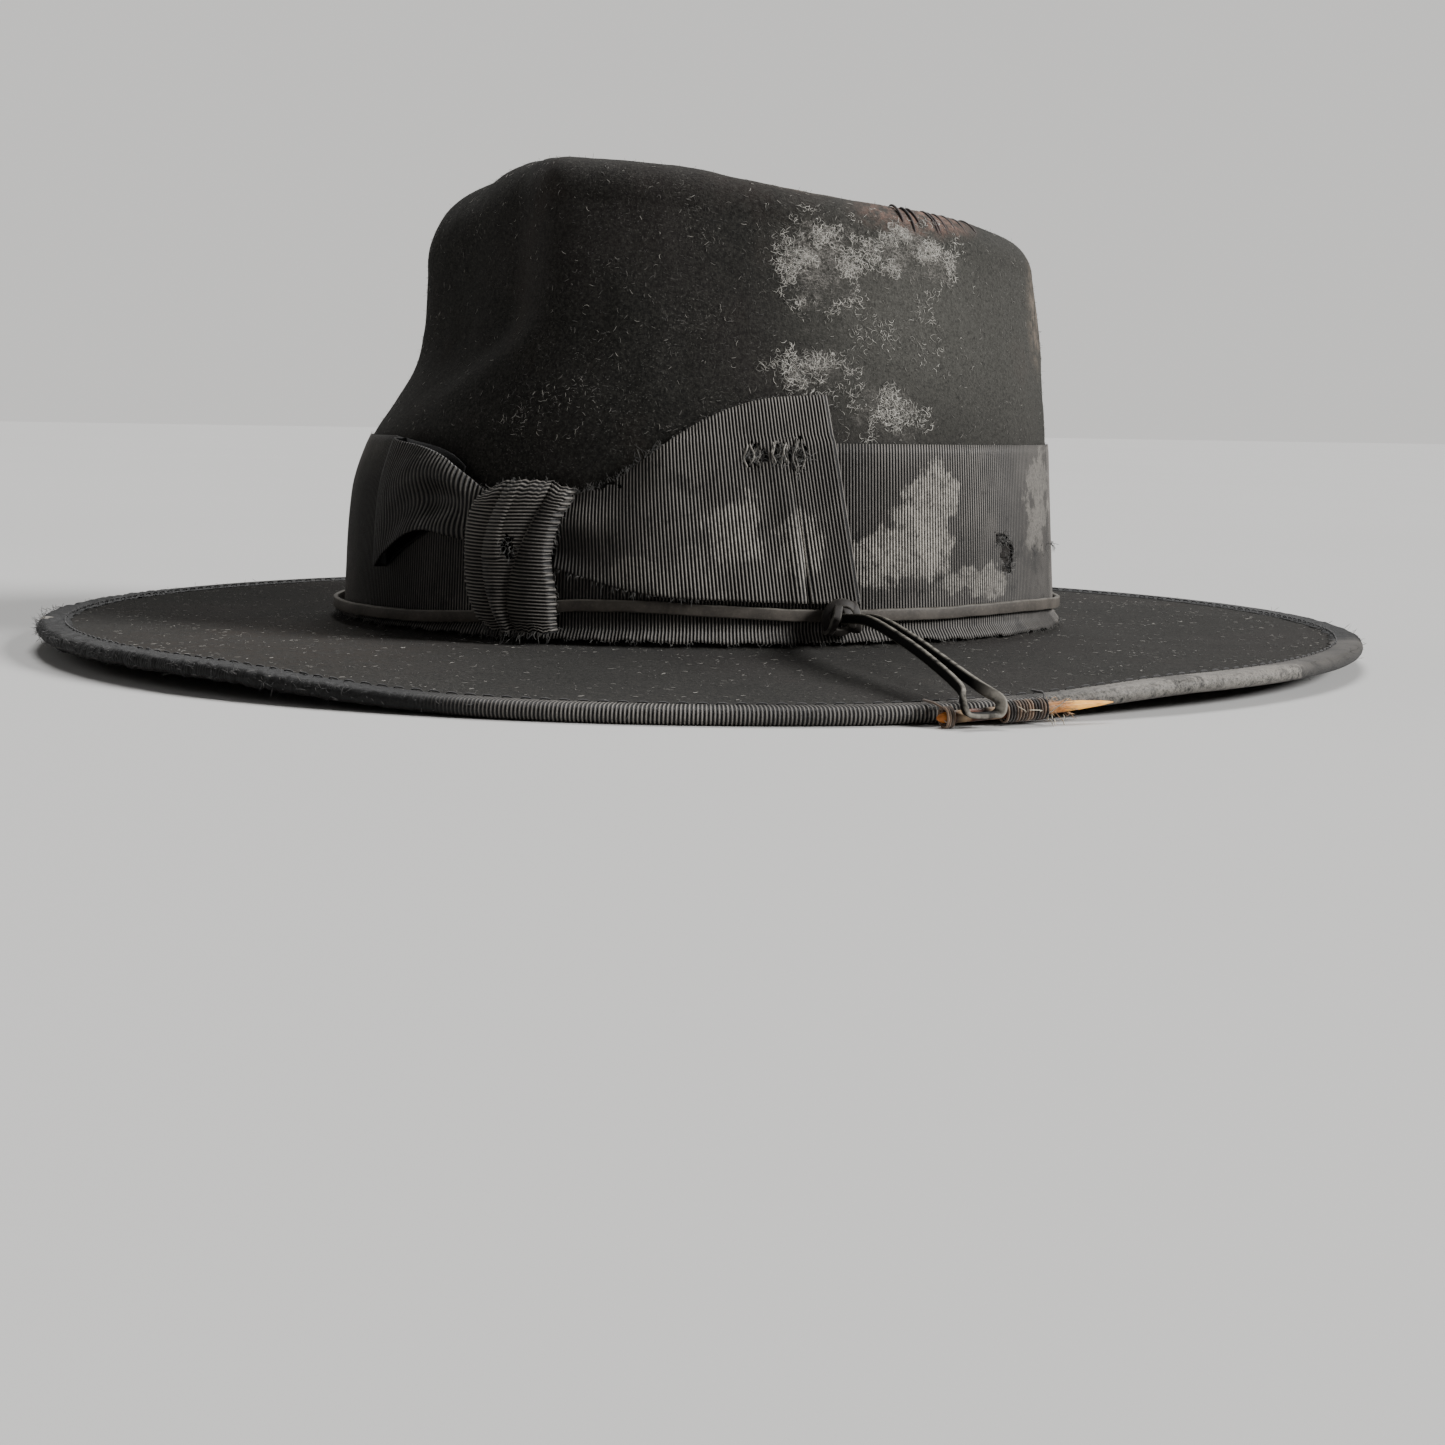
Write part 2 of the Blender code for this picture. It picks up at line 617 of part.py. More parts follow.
def make_quill(horn):
    """Quill with a blunt end towards the front and a long taper towards the back."""
    middle, along, out, up = quill_frame()
    outline = ((0.0, 0.5), (0.03, 0.85), (0.08, 1.0), (0.35, 1.0), (0.6, 1.0), (0.8, 0.72), (0.93, 0.4),
               (1.0, 0.12))
    sides = 10
    vertices = []
    for share, swell in outline:
        centre = middle + along * QUILL_LENGTH * (share - 0.5)
        for side, across in round_section(QUILL_RADIUS * swell, sides):
            vertices.append(centre + up * side + out * across)
    faces = [tuple(range(sides)), tuple((len(outline) - 1) * sides + k for k in reversed(range(sides)))]
    for r in range(len(outline) - 1):
        for k in range(sides):
            n = (k + 1) % sides
            faces.append((r * sides + k, (r + 1) * sides + k, (r + 1) * sides + n, r * sides + n))
    quill = add_object("quill", vertices, faces, horn)
    set_origin(quill, middle)


def make_quill_lashing(thread):
    """One thread: coils each side of the loop, each end sewn down on the binding."""
    middle, along, out, up = quill_frame()
    coil_radius = QUILL_RADIUS + GAP + THREAD + 0.08
    per_turn = 9
    front_coil = (-20.8, -18.7, 0.0, 2.25)    # places along the quill, then turns; whole turns are on top
    rear_coil = (-6.0, 4.4, 0.25, 7.0)

    def coil(start, end, first_turn, last_turn):
        steps = round((last_turn - first_turn) * per_turn)
        points = []
        for k in range(steps + 1):
            place = start + (end - start) * k / steps
            angle = 2 * math.pi * (first_turn + (last_turn - first_turn) * k / steps)
            around = up * math.cos(angle) - out * math.sin(angle)
            points.append(middle + along * place + coil_radius * around)
        return points

    def sewn(place):
        """Stitch from the top of the coil in over the binding."""
        above = FELT / 2 + GAP + BINDING + GAP + THREAD + 0.3
        points = []
        for inward in (-0.8, 1.5, 4.5):
            point = middle + along * place - out * (QUILL_OUT + inward) + up * above
            points.append(point)
        return points

    path = sewn(front_coil[0] - 1.0)[::-1]
    path += coil(*front_coil)
    path += coil(*rear_coil)
    path += sewn(rear_coil[1] + 1.0)
    sweep("quill_lashing", path, round_section(THREAD, 5), thread, first_side=(1.0, 0.0, 0.3))


# ---------------------------------------------------------------- inside the crown

def make_sweatband_reed(cord):
    path = [wall(b, REED_HEIGHT, -REED_DEPTH) for b in BEARINGS]
    sweep("sweatband_reed", path, round_section(REED_RADIUS, 5), cord, closed=True)


def make_sweatband_stitching(thread):
    height = REED_HEIGHT + REED_RADIUS + GAP + THREAD
    path = [wall(b, height, -REED_DEPTH) for b in BEARINGS]
    sweep("sweatband_stitching", path, round_section(THREAD, 4), thread, closed=True)


def make_sweatband(leather):
    heights = (SWEATBAND_LOW, 36.0, SWEATBAND_TOP)
    depth = SWEATBAND_DEPTH + SWEATBAND / 2
    grid = [[wall(b, z, -depth) for b in BEARINGS] for z in heights]
    sheet("sweatband", grid, SWEATBAND, leather, wraps=True)


def make_sweatband_bow(ribbon):
    """Small flat bow over the sweatband's seam at the back."""
    depth = SWEATBAND_DEPTH + SWEATBAND + GAP + 0.5
    half_spread, middle_height = 7.0, 28.0
    half_height = ((0.0, 2.0), (0.35, 3.6), (1.0, 5.0))
    grid = []
    for share in (-1.0, 0.0, 1.0):
        row = []
        for k in range(-4, 5):
            spread = k / 4
            height = middle_height + share * curve_through(half_height, abs(spread))
            row.append(wall(spread * half_spread, height, -depth))
        grid.append(row)
    sheet("sweatband_bow", grid, RIBBON, ribbon)


def make_lining(grid, normals, cloth, cord):
    """Side panel and tip, with a cord piped round the seam between them."""
    low_row = FIRST_BAND_ROW + len(BAND_ROWS) - 2
    seam_row = FIRST_BAND_ROW + len(BAND_ROWS) - 1 + len(WALL_SHARES) - 1
    side = grid[low_row:seam_row + 1]
    side_normals = normals[low_row:seam_row + 1]
    crown_shell("lining_side", side, side_normals, LINING_DEPTH, LINING_DEPTH + LINING, cloth, False)
    tip = grid[seam_row + 1:]
    tip_normals = normals[seam_row + 1:]
    crown_shell("lining_tip", tip, tip_normals, LINING_DEPTH, LINING_DEPTH + LINING, cloth, True)
    depth = LINING_DEPTH + LINING + GAP + PIPING_RADIUS
    path = grid[seam_row] - normals[seam_row] * depth
    sweep("lining_piping", path, round_section(PIPING_RADIUS, 4), cord, closed=True)


def build():
    for thing in list(bpy.data.objects):
        bpy.data.objects.remove(thing, do_unlink=True)
    felt = material("charcoal_felt", (0.022, 0.021, 0.022), 0.95)
    ribbon = material("black_grosgrain", (0.03, 0.03, 0.031), 0.7)
    lace = material("waxed_lace", (0.05, 0.05, 0.043), 0.55)
    thread = material("black_thread", (0.012, 0.011, 0.012), 0.8)
    lash = material("brown_thread", (0.16, 0.11, 0.08), 0.8)
    horn = material("amber_quill", (0.55, 0.22, 0.05), 0.35)
    leather = material("tan_leather", (0.2, 0.09, 0.04), 0.5)
    satin = material("black_satin", (0.02, 0.018, 0.022), 0.3)
    cord = material("black_cord", (0.03, 0.028, 0.03), 0.6)

    grid = crown_rows()
    normals = crown_normals(grid)
    make_felt_body(grid, normals, felt)
    make_brim_binding(ribbon)
    make_binding_stitching(thread)
    make_mend_stitching(thread)
    make_hatband(ribbon)
    make_bow_rear_wing(ribbon)
    make_bow_front_wing(ribbon)
    make_bow_knot(ribbon)
    make_lace_band(lace)
    make_lace_knot(lace)
    make_lace_loop(lace)
    make_quill(horn)
    make_quill_lashing(lash)
    make_sweatband_reed(cord)
    make_sweatband_stitching(thread)
    make_sweatband(leather)
    make_sweatband_bow(ribbon)
    make_lining(grid, normals, satin, cord)


build()
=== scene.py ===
"""Looks of the distressed wide-brimmed felt hat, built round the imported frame.

Shapes are worked out in millimetres in the frame's axes (+Z up, -X front, -Y wearer's left) and
turned into metres when a mesh is made.  Bearings are degrees about +Z from +X.
"""

import math

import bmesh
import bpy
import numpy as np
from mathutils import Matrix, Vector, noise


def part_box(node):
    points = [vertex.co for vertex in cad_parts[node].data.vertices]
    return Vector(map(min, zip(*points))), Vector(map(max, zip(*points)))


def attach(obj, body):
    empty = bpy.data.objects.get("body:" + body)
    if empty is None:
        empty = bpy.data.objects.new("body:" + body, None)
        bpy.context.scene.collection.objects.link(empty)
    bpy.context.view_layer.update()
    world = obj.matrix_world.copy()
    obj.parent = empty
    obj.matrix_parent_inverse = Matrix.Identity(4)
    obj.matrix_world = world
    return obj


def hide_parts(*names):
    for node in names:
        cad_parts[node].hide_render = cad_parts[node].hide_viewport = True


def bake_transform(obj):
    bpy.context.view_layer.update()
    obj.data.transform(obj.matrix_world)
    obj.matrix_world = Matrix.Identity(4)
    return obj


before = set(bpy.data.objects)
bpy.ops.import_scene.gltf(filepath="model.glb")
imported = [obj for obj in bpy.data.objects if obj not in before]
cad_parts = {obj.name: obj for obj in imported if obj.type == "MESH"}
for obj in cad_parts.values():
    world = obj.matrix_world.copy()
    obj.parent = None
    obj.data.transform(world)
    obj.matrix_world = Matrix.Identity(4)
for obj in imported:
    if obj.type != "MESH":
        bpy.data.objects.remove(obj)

MM = 0.001
UP = np.array([0.0, 0.0, 1.0])
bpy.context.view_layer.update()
rng = np.random.default_rng(1893)

# ---------------------------------------------------------------- sizes, in millimetres

binding_low, binding_high = np.array(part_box("brim_binding")) / MM
band_low, band_high = np.array(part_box("hatband")) / MM

# Brim and its binding
GAP = 0.3
FELT = 2.4
BINDING = 0.7
BINDING_REACH = 9.0
BRIM_HALF_LENGTH, BRIM_HALF_WIDTH = binding_high[:2]
BRIM_TOP = binding_high[2] - GAP - BINDING
BRIM_UNDER = BRIM_TOP - FELT
SIDE_DROOP = BRIM_UNDER - GAP - BINDING - binding_low[2]
DROOP_BLEND = (0.6, 1.0)
DROOP_POWER = 1.4
BREAK_RADIUS = 4.0
RIBBON_THIN = 0.45
SEWN_EDGE_SUNK = 0.5
BINDING_RIB_HEIGHT = 0.34
BINDING_STITCH = 4.2
BINDING_TOP = BRIM_TOP + GAP + RIBBON_THIN
BINDING_BOTTOM = BRIM_UNDER - GAP - BINDING
LOWEST_HAIR = 0.1

# Crown, the same outlines as the frame
FRONT_PROFILE = ((4.0, 105.8), (44.0, 103.2), (60.0, 97.8), (70.0, 91.4), (82.0, 85.4), (99.0, 83.0),
                 (129.0, 81.8))
REAR_PROFILE = ((4.0, 103.8), (61.0, 100.3), (84.0, 98.3), (107.0, 95.3), (129.0, 91.5))
SIDE_PROFILE = ((4.0, 88.8), (61.0, 86.0), (84.0, 81.0), (104.0, 75.5), (129.0, 69.0))
RIDGE_HEIGHT = ((-80.0, 133.2), (-62.0, 135.4), (-45.0, 135.4), (-26.0, 133.6), (0.0, 131.0), (40.0, 125.4),
                (67.0, 122.0), (98.0, 118.5))
RIDGE_LOOKUP_HEIGHT = 114.0
SHOULDER_RADIUS = ((22.0, 24.0), (60.0, 11.0))
MEND_FROM, MEND_TO, MEND_STITCHES = 52.0, 73.0, 9
FELT_COLUMNS = 480
DENT_DEPTH = 29.0
DENT_LENGTH = 0.62
PINCH_DEPTH = 8.5
PINCH_HEIGHTS = (64.0, 96.0)
PINCH_REAR_BEARING = (40.0, 63.0)
PINCH_REAR_BLEND = 18.0
PINCH_NOSE = (2.0, 30.0)

# Hatband and its ribs; flare and gather give the offset from the felt wall and the lowered top edge
BAND = 0.7
BAND_LOW, BAND_TOP = band_low[2], band_high[2]
BAND_FLARE = ((9.2, 2.4), (12.0, 0.5), (24.0, GAP), (60.6, GAP))
BAND_GATHER_FROM = 30.0
BAND_GATHER = ((-150.0, 60.6), (-138.0, 57.5), (-126.0, 49.0), (-120.0, 46.0), (-112.0, 46.0),
               (-102.0, 49.0), (-96.0, 56.0), (-89.0, 60.6))
RIB_PITCH = 0.9
RIB_HEIGHT = 0.46
BAND_RIB_HEIGHT = 0.42
RIB_SAMPLES = 6
BACK_OF_RIBBON = 0.35

# Bow; the wings' outlines go by the share of the way out, the knot's by height
RIBBON_HALF = 0.3
BOW_UNDER = GAP + BAND + 0.7 + RIBBON_HALF
REAR_WING_RIBS = 82
REAR_WING_START, REAR_WING_END_LOW, REAR_WING_END_TOP = -37.5, 40.3, 31.6
REAR_WING_LOW = ((0.0, 27.5), (0.3, 21.6), (0.6, 20.2), (1.0, 19.2))
REAR_WING_HIGH = ((0.0, 45.0), (0.2, 50.0), (0.4, 60.0), (0.57, 67.0), (0.76, 71.5), (1.0, 73.0))
REAR_WING_FACE = ((0.0, 2.6), (0.35, 4.2), (0.75, 3.9), (1.0, 3.2))
FRONT_WING_RIBS = 34
FRONT_WING_START, FRONT_WING_END = -122.0, -144.0
FRONT_WING_LOW = ((0.0, 32.0), (0.45, 36.0), (0.8, 30.0), (1.0, 25.0))
FRONT_WING_HIGH = ((0.0, 46.0), (0.4, 56.0), (1.0, 60.0))
FRONT_WING_FACE = ((0.0, 3.0), (0.5, 7.2), (0.85, 7.0), (1.0, 5.8))
KNOT_LOW, KNOT_TOP = 10.4, 49.5
KNOT_LEFT = ((10.4, -54.5), (18.0, -57.8), (31.0, -59.4), (46.0, -58.0), (49.5, -56.5))
KNOT_RIGHT = ((10.4, -36.0), (31.0, -37.6), (39.0, -36.6), (46.0, -33.4), (49.5, -33.2))
KNOT_OFFSET = ((10.4, 4.6), (18.0, 5.2), (30.0, 5.8), (42.0, 5.4), (47.0, 4.4), (49.5, 2.2))
LOOSE_CORD_SPACING = 0.8

# Holes in the ribbons, as (centre, half size)
BAND_HOLES = (((84.0, -50.0, 30.0), (2.0, 6.0, 4.2)), ((82.0, -52.0, 35.0), (2.0, 5.0, 1.3)))
WING_TEARS = (((13.6, -92.0, 57.4), (2.6, 8.0, 2.3)), ((20.2, -92.0, 58.2), (2.6, 8.0, 2.2)),
              ((25.0, -90.0, 57.4), (1.5, 8.0, 3.6)))
WING_EDGE_TEAR = ((-30.0, -88.0, 50.0), (9.0, 9.0, 1.8))
KNOT_TEARS = (((-50.0, -82.0, 33.0), (1.6, 12.0, 2.6)),)

# Lace, its knot and its loop
LACE_THICK, LACE_WIDE = 2.0, 3.2
LACE_HEIGHT = ((-180.0, 11.6), (-126.0, 13.4), (-106.0, 18.2), (-70.0, 16.2), (-35.0, 16.5), (0.0, 14.6),
               (90.0, 14.0), (180.0, 11.6))
LACE_KNOT_X = 35.0
LACE_KNOT_OFFSET = 6.1
LOOP_ROOT_OFFSET = 10.3
LOOP_THICK, LOOP_WIDE = 1.5, 2.8

# Quill and its lashing; coils are from and to along the quill, then from and to in turns
QUILL_MIDDLE_X = 73.7
QUILL_LENGTH = 44.0
QUILL_RADIUS = 1.5
QUILL_OUT = 2.8
HOOK_FROM_MIDDLE = -12.5
THREAD = 0.3
FRONT_COILS = (-20.8, -18.7, 0.0, 4.25)
REAR_COILS = (-6.0, 4.4, 0.25, 14.0)
QUILL_BARBS = 34

# Inside the crown, as depths inward from the felt wall's outer face
REED_DEPTH, REED_RADIUS, REED_HEIGHT = 3.8, 0.9, 11.2
REED_STITCHES = 190
REED_TWISTS = 150
SWEATBAND_DEPTH, SWEATBAND = 5.2, 1.1
SWEATBAND_LOW, SWEATBAND_TOP = 10.4, 58.0
SWEATBAND_PINKS = 190
SEAM_BOW_HEIGHT, SEAM_BOW_HALF_TURN = 28.0, 7.0
LINING_DEPTH, LINING, LINING_LOW = FELT + 0.4, 0.4, 48.0
PIPING_RADIUS = 0.8

# ---------------------------------------------------------------- where the wear is

# Lint and rubbed felt: centre, half size, amount
LINT_PATCHES = (((30.0, -64.0, 106.0), (17.0, 34.0, 19.0), 1.0),
                ((54.0, -58.0, 110.0), (20.0, 34.0, 13.0), 1.0),
                ((44.0, -62.0, 98.0), (36.0, 40.0, 30.0), 0.08),
                ((27.0, -76.0, 79.0), (17.0, 30.0, 9.0), 0.45),
                ((47.0, -72.0, 68.0), (18.0, 30.0, 11.0), 0.45))
FIBRE_PATCHES = LINT_PATCHES + (((-38.0, -78.0, 67.0), (22.0, 40.0, 14.0), 0.9),)
RUBBED_SIDES = (((88.0, -40.0, 88.0), (50.0, 70.0, 60.0), 0.5),
                ((50.0, -68.0, 96.0), (44.0, 70.0, 54.0), 0.75))
BALD_SPOT = (115.5, -140.0, 3.0)

# Fibres on the felt: how many, lengths, radii, dark and light colour, how many stay dark, and the lift
# and curl of those that lie down
FELT_FIBRES = (("felt_lint", 6500, (0.5, 1.9), (0.022, 0.05),
                "pale_lint", (0.07, 0.065, 0.06), (0.42, 0.40, 0.36), 1.6, (0.12, 0.5)),
               ("felt_lint_webs", 3700, (0.6, 2.3), (0.025, 0.052),
                "matted_lint", (0.10, 0.095, 0.085), (0.80, 0.77, 0.70), 1, (0.16, 1.7)),
               ("felt_fuzz", 9000, (0.35, 1.1), (0.018, 0.035),
                "felt_nap", (0.02, 0.019, 0.02), (0.10, 0.095, 0.09), 2, None))

# Threadbare felt: centre, half size, colour, amount
WORN_EDGES = (((56.0, -52.0, 121.0), (26.0, 24.0, 8.0), (0.20, 0.12, 0.095), 0.85),
              ((34.0, -52.0, 127.5), (34.0, 18.0, 4.0), (0.15, 0.115, 0.09), 0.7),
              ((95.0, -24.0, 102.0), (6.0, 34.0, 26.0), (0.18, 0.145, 0.115), 0.75),
              ((-115.0, -95.0, 8.0), (85.0, 90.0, 14.0), (0.026, 0.019, 0.014), 0.6))

# Dust and other paler patches on ribbons: centre, half size, amount, and the share that also fills the
# grooves
BAND_DUST = (((61.0, -70.0, 42.0), (10.0, 40.0, 21.0), 1.0, 0.2),
             ((54.0, -75.0, 34.0), (13.0, 30.0, 15.0), 0.9, 0.14),
             ((45.0, -78.0, 30.0), (12.0, 30.0, 12.0), 0.8, 0.08),
             ((74.0, -60.0, 25.0), (20.0, 30.0, 7.0), 0.7, 0.12),
             ((95.0, -36.0, 46.0), (7.0, 34.0, 24.0), 0.3, 0.5))
WING_DUST = (((9.0, -94.0, 38.0), (12.0, 30.0, 14.0), 0.75, 0.08),
             ((26.0, -92.0, 34.0), (12.0, 30.0, 14.0), 0.55, 0.06),
             ((-10.0, -94.0, 27.0), (24.0, 30.0, 9.0), 0.35, 0.0))
# On the binding: a broad paler patch on its right rear, and the tan core at its torn left tip
BINDING_PALE_PATCHES = (((120.0, -140.0, 4.0), (75.0, 60.0, 30.0), 0.5, 0.5),
                ((-188.0, -38.0, 6.0), (6.0, 13.0, 6.0), 0.9, 1.0))
# Painted shade on ribbons: centre, half size, amount; this one darkens the front of the hatband and the
# front wing, which lie in shade
FRONT_PAINTED_SHADE = (((-95.0, -50.0, 35.0), (52.0, 62.0, 50.0), 0.75),)
# Painted shade on the rear wing where it dips into the knot, high and low: centre, half size, amount
WING_PAINTED_SHADE = (((-26.0, -90.0, 52.0), (17.0, 30.0, 12.0), 0.6),
             ((-34.0, -88.0, 30.0), (11.0, 30.0, 14.0), 0.5))

# Binding, as bearings from where each part starts to where it is full, and fades to where it ends
BINDING_RIBBED = (-114.0, -97.0, -70.0, -62.0)
BINDING_RUBBED = (-66.0, -58.0, -18.0, -6.0)
BINDING_UNFRAYED = (-122.0, -103.0, 150.0, 172.0)
BINDING_TORN = (-17.0, -5.0, 30.0, 48.0)

# Colours along the quill, from its front end to its tip
QUILL_BANDS = ((0.0, (0.42, 0.13, 0.02)), (0.06, (0.5, 0.17, 0.03)), (0.09, (0.03, 0.015, 0.01)),
               (0.15, (0.42, 0.30, 0.18)), (0.18, (0.10, 0.03, 0.015)), (0.26, (0.012, 0.01, 0.009)),
               (0.33, (0.30, 0.20, 0.12)), (0.36, (0.11, 0.03, 0.015)), (0.42, (0.015, 0.011, 0.01)),
               (0.52, (0.10, 0.035, 0.018)), (0.58, (0.02, 0.013, 0.01)), (0.63, (0.30, 0.15, 0.06)),
               (0.70, (0.40, 0.15, 0.035)), (0.76, (0.62, 0.27, 0.06)), (0.80, (0.92, 0.42, 0.07)),
               (0.96, (0.90, 0.38, 0.06)), (1.0, (0.50, 0.18, 0.03)))

# Studio
AMBIENT = 0.07
BACKDROP = (0.80, 0.79, 0.77, 1.0)
LIGHTS = (("key", (1.15, -0.36, 0.60), 6.4, 18.0), ("top", (0.05, 0.55, 1.0), 2.9, 30.0),
          ("left_rim", (-1.0, 0.35, 0.5), 0.3, 25.0), ("fill", (-0.5, -1.1, 0.7), 0.15, 60.0))
CAMERA_LENS, CAMERA_SENSOR = 51.3, 36.0
CAMERA_PLACE = (0.0060, -0.6189, 0.0656)
CAMERA_DOWN = 0.145
CAMERA_ROLL = math.radians(-0.9)
ROLL_PIVOT = (0.0, 0.0, 0.0076)


# ---------------------------------------------------------------- curves and surfaces

def curve_through(points, position):
    """Smooth curve through (position, value) pairs, held level past both ends; works on arrays."""
    places, values = np.array(points, float).T
    slopes = np.empty_like(values)
    slopes[1:-1] = (values[2:] - values[:-2]) / (places[2:] - places[:-2])
    slopes[0] = (values[1] - values[0]) / (places[1] - places[0])
    slopes[-1] = (values[-1] - values[-2]) / (places[-1] - places[-2])
    x = np.clip(position, places[0], places[-1])
    i = np.clip(np.searchsorted(places, x, side="left") - 1, 0, len(places) - 2)
    span = places[i + 1] - places[i]
    t = (x - places[i]) / span
    start = (1 + 2 * t) * (1 - t) ** 2 * values[i] + t * (1 - t) ** 2 * span * slopes[i]
    return start + t * t * (3 - 2 * t) * values[i + 1] - t * t * (1 - t) * span * slopes[i + 1]


def smooth_step(low, high, value):
    t = np.clip((value - low) / (high - low), 0.0, 1.0)
    return t * t * (3 - 2 * t)


def between(start, full, fading, end, value):
    """Rises from 0 at start to 1 at full, and falls again from fading to end."""
    return smooth_step(start, full, value) * (1.0 - smooth_step(fading, end, value))


def hump(middle, width, value):
    """1 at the middle, falling away smoothly on both sides."""
    return np.exp(-((value - middle) / width) ** 2)


def straight(points, position):
    places, values = np.array(points, float).T
    return np.interp(position, places, values)


def unit(vectors):
    return vectors / np.maximum(np.linalg.norm(vectors, axis=-1, keepdims=True), 1e-9)


def full_turn(columns):
    return 360.0 * np.arange(columns) / columns - 180.0


def circle(count):
    """Angles round a full turn, in radians, each once."""
    return 2 * np.pi * np.arange(count) / count


def from_the_front(bearing):
    return 180.0 - np.abs((bearing + 180.0) % 360.0 - 180.0)


def pinch(bearing, height):
    from_front = from_the_front(bearing)
    rise = smooth_step(*PINCH_HEIGHTS, height)
    low, high = PINCH_REAR_BEARING
    rear_edge = low + (high - low) * rise
    inside = 1.0 - smooth_step(rear_edge - PINCH_REAR_BLEND, rear_edge, from_front)
    return PINCH_DEPTH * rise * inside * smooth_step(*PINCH_NOSE, from_front)


def wall(bearing, height, offset=0.0):
    """Points on the crown's wall, moved outward by offset."""
    bearing, height, offset = np.broadcast_arrays(*[np.asarray(v, float) for v in (bearing, height, offset)])
    angle = np.radians(bearing)
    offset = offset - pinch(bearing, height)
    front = curve_through(FRONT_PROFILE, height)
    rear = curve_through(REAR_PROFILE, height)
    reach = np.where(np.cos(angle) < 0, front, rear) + offset
    half_width = curve_through(SIDE_PROFILE, height) + offset
    return np.stack([reach * np.cos(angle), half_width * np.sin(angle), height], axis=-1)


def band_height(bearing, height):
    """Height on the hatband, whose upper part is gathered down under the bow."""
    share = np.clip((height - BAND_GATHER_FROM) / (BAND_TOP - BAND_GATHER_FROM), 0.0, 1.0)
    return height - share * (BAND_TOP - curve_through(BAND_GATHER, bearing))


def left_bearing(x):
    """Bearing on the wearer's left side of the wall at a place along the hat."""
    x = np.asarray(x, float)
    return -np.degrees(np.arccos(x / np.where(x < 0, FRONT_PROFILE[0][1], REAR_PROFILE[0][1])))


def edge_droop(bearing):
    return SIDE_DROOP * smooth_step(*DROOP_BLEND, np.sin(np.radians(bearing)) ** 2)


def brim_edge(bearing, height, inset=0.0):
    """Points near the brim's edge; height is as at the front tip, and the sides droop below it."""
    bearing, height, inset = np.broadcast_arrays(*[np.asarray(v, float) for v in (bearing, height, inset)])
    angle = np.radians(bearing)
    return np.stack([(BRIM_HALF_LENGTH - inset) * np.cos(angle), (BRIM_HALF_WIDTH - inset) * np.sin(angle),
                     height - edge_droop(bearing)], axis=-1)


def ridge_at(bearing):
    return curve_through(RIDGE_HEIGHT, wall(bearing, RIDGE_LOOKUP_HEIGHT)[..., 0])


def shoulder_radius(bearing):
    return curve_through(SHOULDER_RADIUS, from_the_front(bearing))


def crown_top(bearing, turn):
    """Top of the crown: turn 0 to 1 goes round the shoulder, 1 to 2 goes down to the crease's floor."""
    bearing, turn = np.broadcast_arrays(np.asarray(bearing, float), np.asarray(turn, float))
    ridge = ridge_at(bearing)
    radius = shoulder_radius(bearing)
    rim = wall(bearing, ridge - radius)
    floor_x = rim[..., 0] * DENT_LENGTH
    inward = np.stack([floor_x - rim[..., 0], -rim[..., 1], np.zeros_like(floor_x)], axis=-1)
    distance = np.linalg.norm(inward, axis=-1)
    arc = np.minimum(turn, 1.0) * math.pi / 2
    down = np.maximum(turn - 1.0, 0.0)
    across = radius * (1 - np.cos(arc)) + down * (distance - radius)
    floor_height = curve_through(RIDGE_HEIGHT, floor_x) - DENT_DEPTH
    points = rim + inward * (across / distance)[..., None]
    sunk = (floor_height - ridge) * smooth_step(0.0, 1.0, down)
    points[..., 2] = ridge - radius + radius * np.sin(arc) + sunk
    return points


def normals_of(grid, wraps=False):
    along_rows = np.gradient(grid, axis=0)
    if wraps:
        along_columns = np.roll(grid, -1, axis=1) - np.roll(grid, 1, axis=1)
    else:
        along_columns = np.gradient(grid, axis=1)
    return unit(np.cross(along_columns, along_rows))


def noise_on(points, size, depth=3, seed=0.0):
    """Smooth noise, about -1 to 1, with features of the given size in millimetres."""
    flat = points.reshape(-1, 3) / size + seed
    values = [noise.fractal(Vector(p), 0.9, 2.1, depth, noise_basis="PERLIN_ORIGINAL") for p in flat]
    return np.array(values).reshape(points.shape[:-1])


def in_patch(points, centre, size):
    distance = np.linalg.norm((points - np.array(centre)) / np.array(size), axis=-1)
    return 1.0 - smooth_step(0.3, 1.0, distance)


# ---------------------------------------------------------------- meshes

def make_mesh(name, vertices, faces, material, tone=None, label="tone"):
    """Smooth-shaded piece from vertices in millimetres and an array of quads."""
    used, faces = np.unique(np.asarray(faces), return_inverse=True)
    faces = faces.reshape(-1, 4)
    vertices = vertices.reshape(-1, 3)[used] * MM
    mesh = bpy.data.meshes.new(name)
    mesh.vertices.add(len(vertices))
    mesh.vertices.foreach_set("co", vertices.astype(np.float32).ravel())
    mesh.loops.add(faces.size)
    mesh.loops.foreach_set("vertex_index", faces.astype(np.int32).ravel())
    mesh.polygons.add(len(faces))
    mesh.polygons.foreach_set("loop_start", np.arange(0, faces.size, 4, dtype=np.int32))
    mesh.update(calc_edges=True)
    mesh.shade_smooth()
    mesh.materials.append(material)
    if tone is not None:
        attribute = mesh.attributes.new(label, "FLOAT", "POINT")
        attribute.data.foreach_set("value", np.asarray(tone, np.float32).ravel()[used])
    return linked(name, mesh)


def linked(name, data):
    thing = bpy.data.objects.new(name, data)
    bpy.context.scene.collection.objects.link(thing)
    return thing


def belongs(piece, body, material_slot, *nodes):
    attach(piece, body)
    if nodes:
        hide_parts(*nodes)


def weld(thing):
    work = bmesh.new()
    work.from_mesh(thing.data)
    bmesh.ops.remove_doubles(work, verts=work.verts, dist=0.01 * MM)
    work.to_mesh(thing.data)
    work.free()


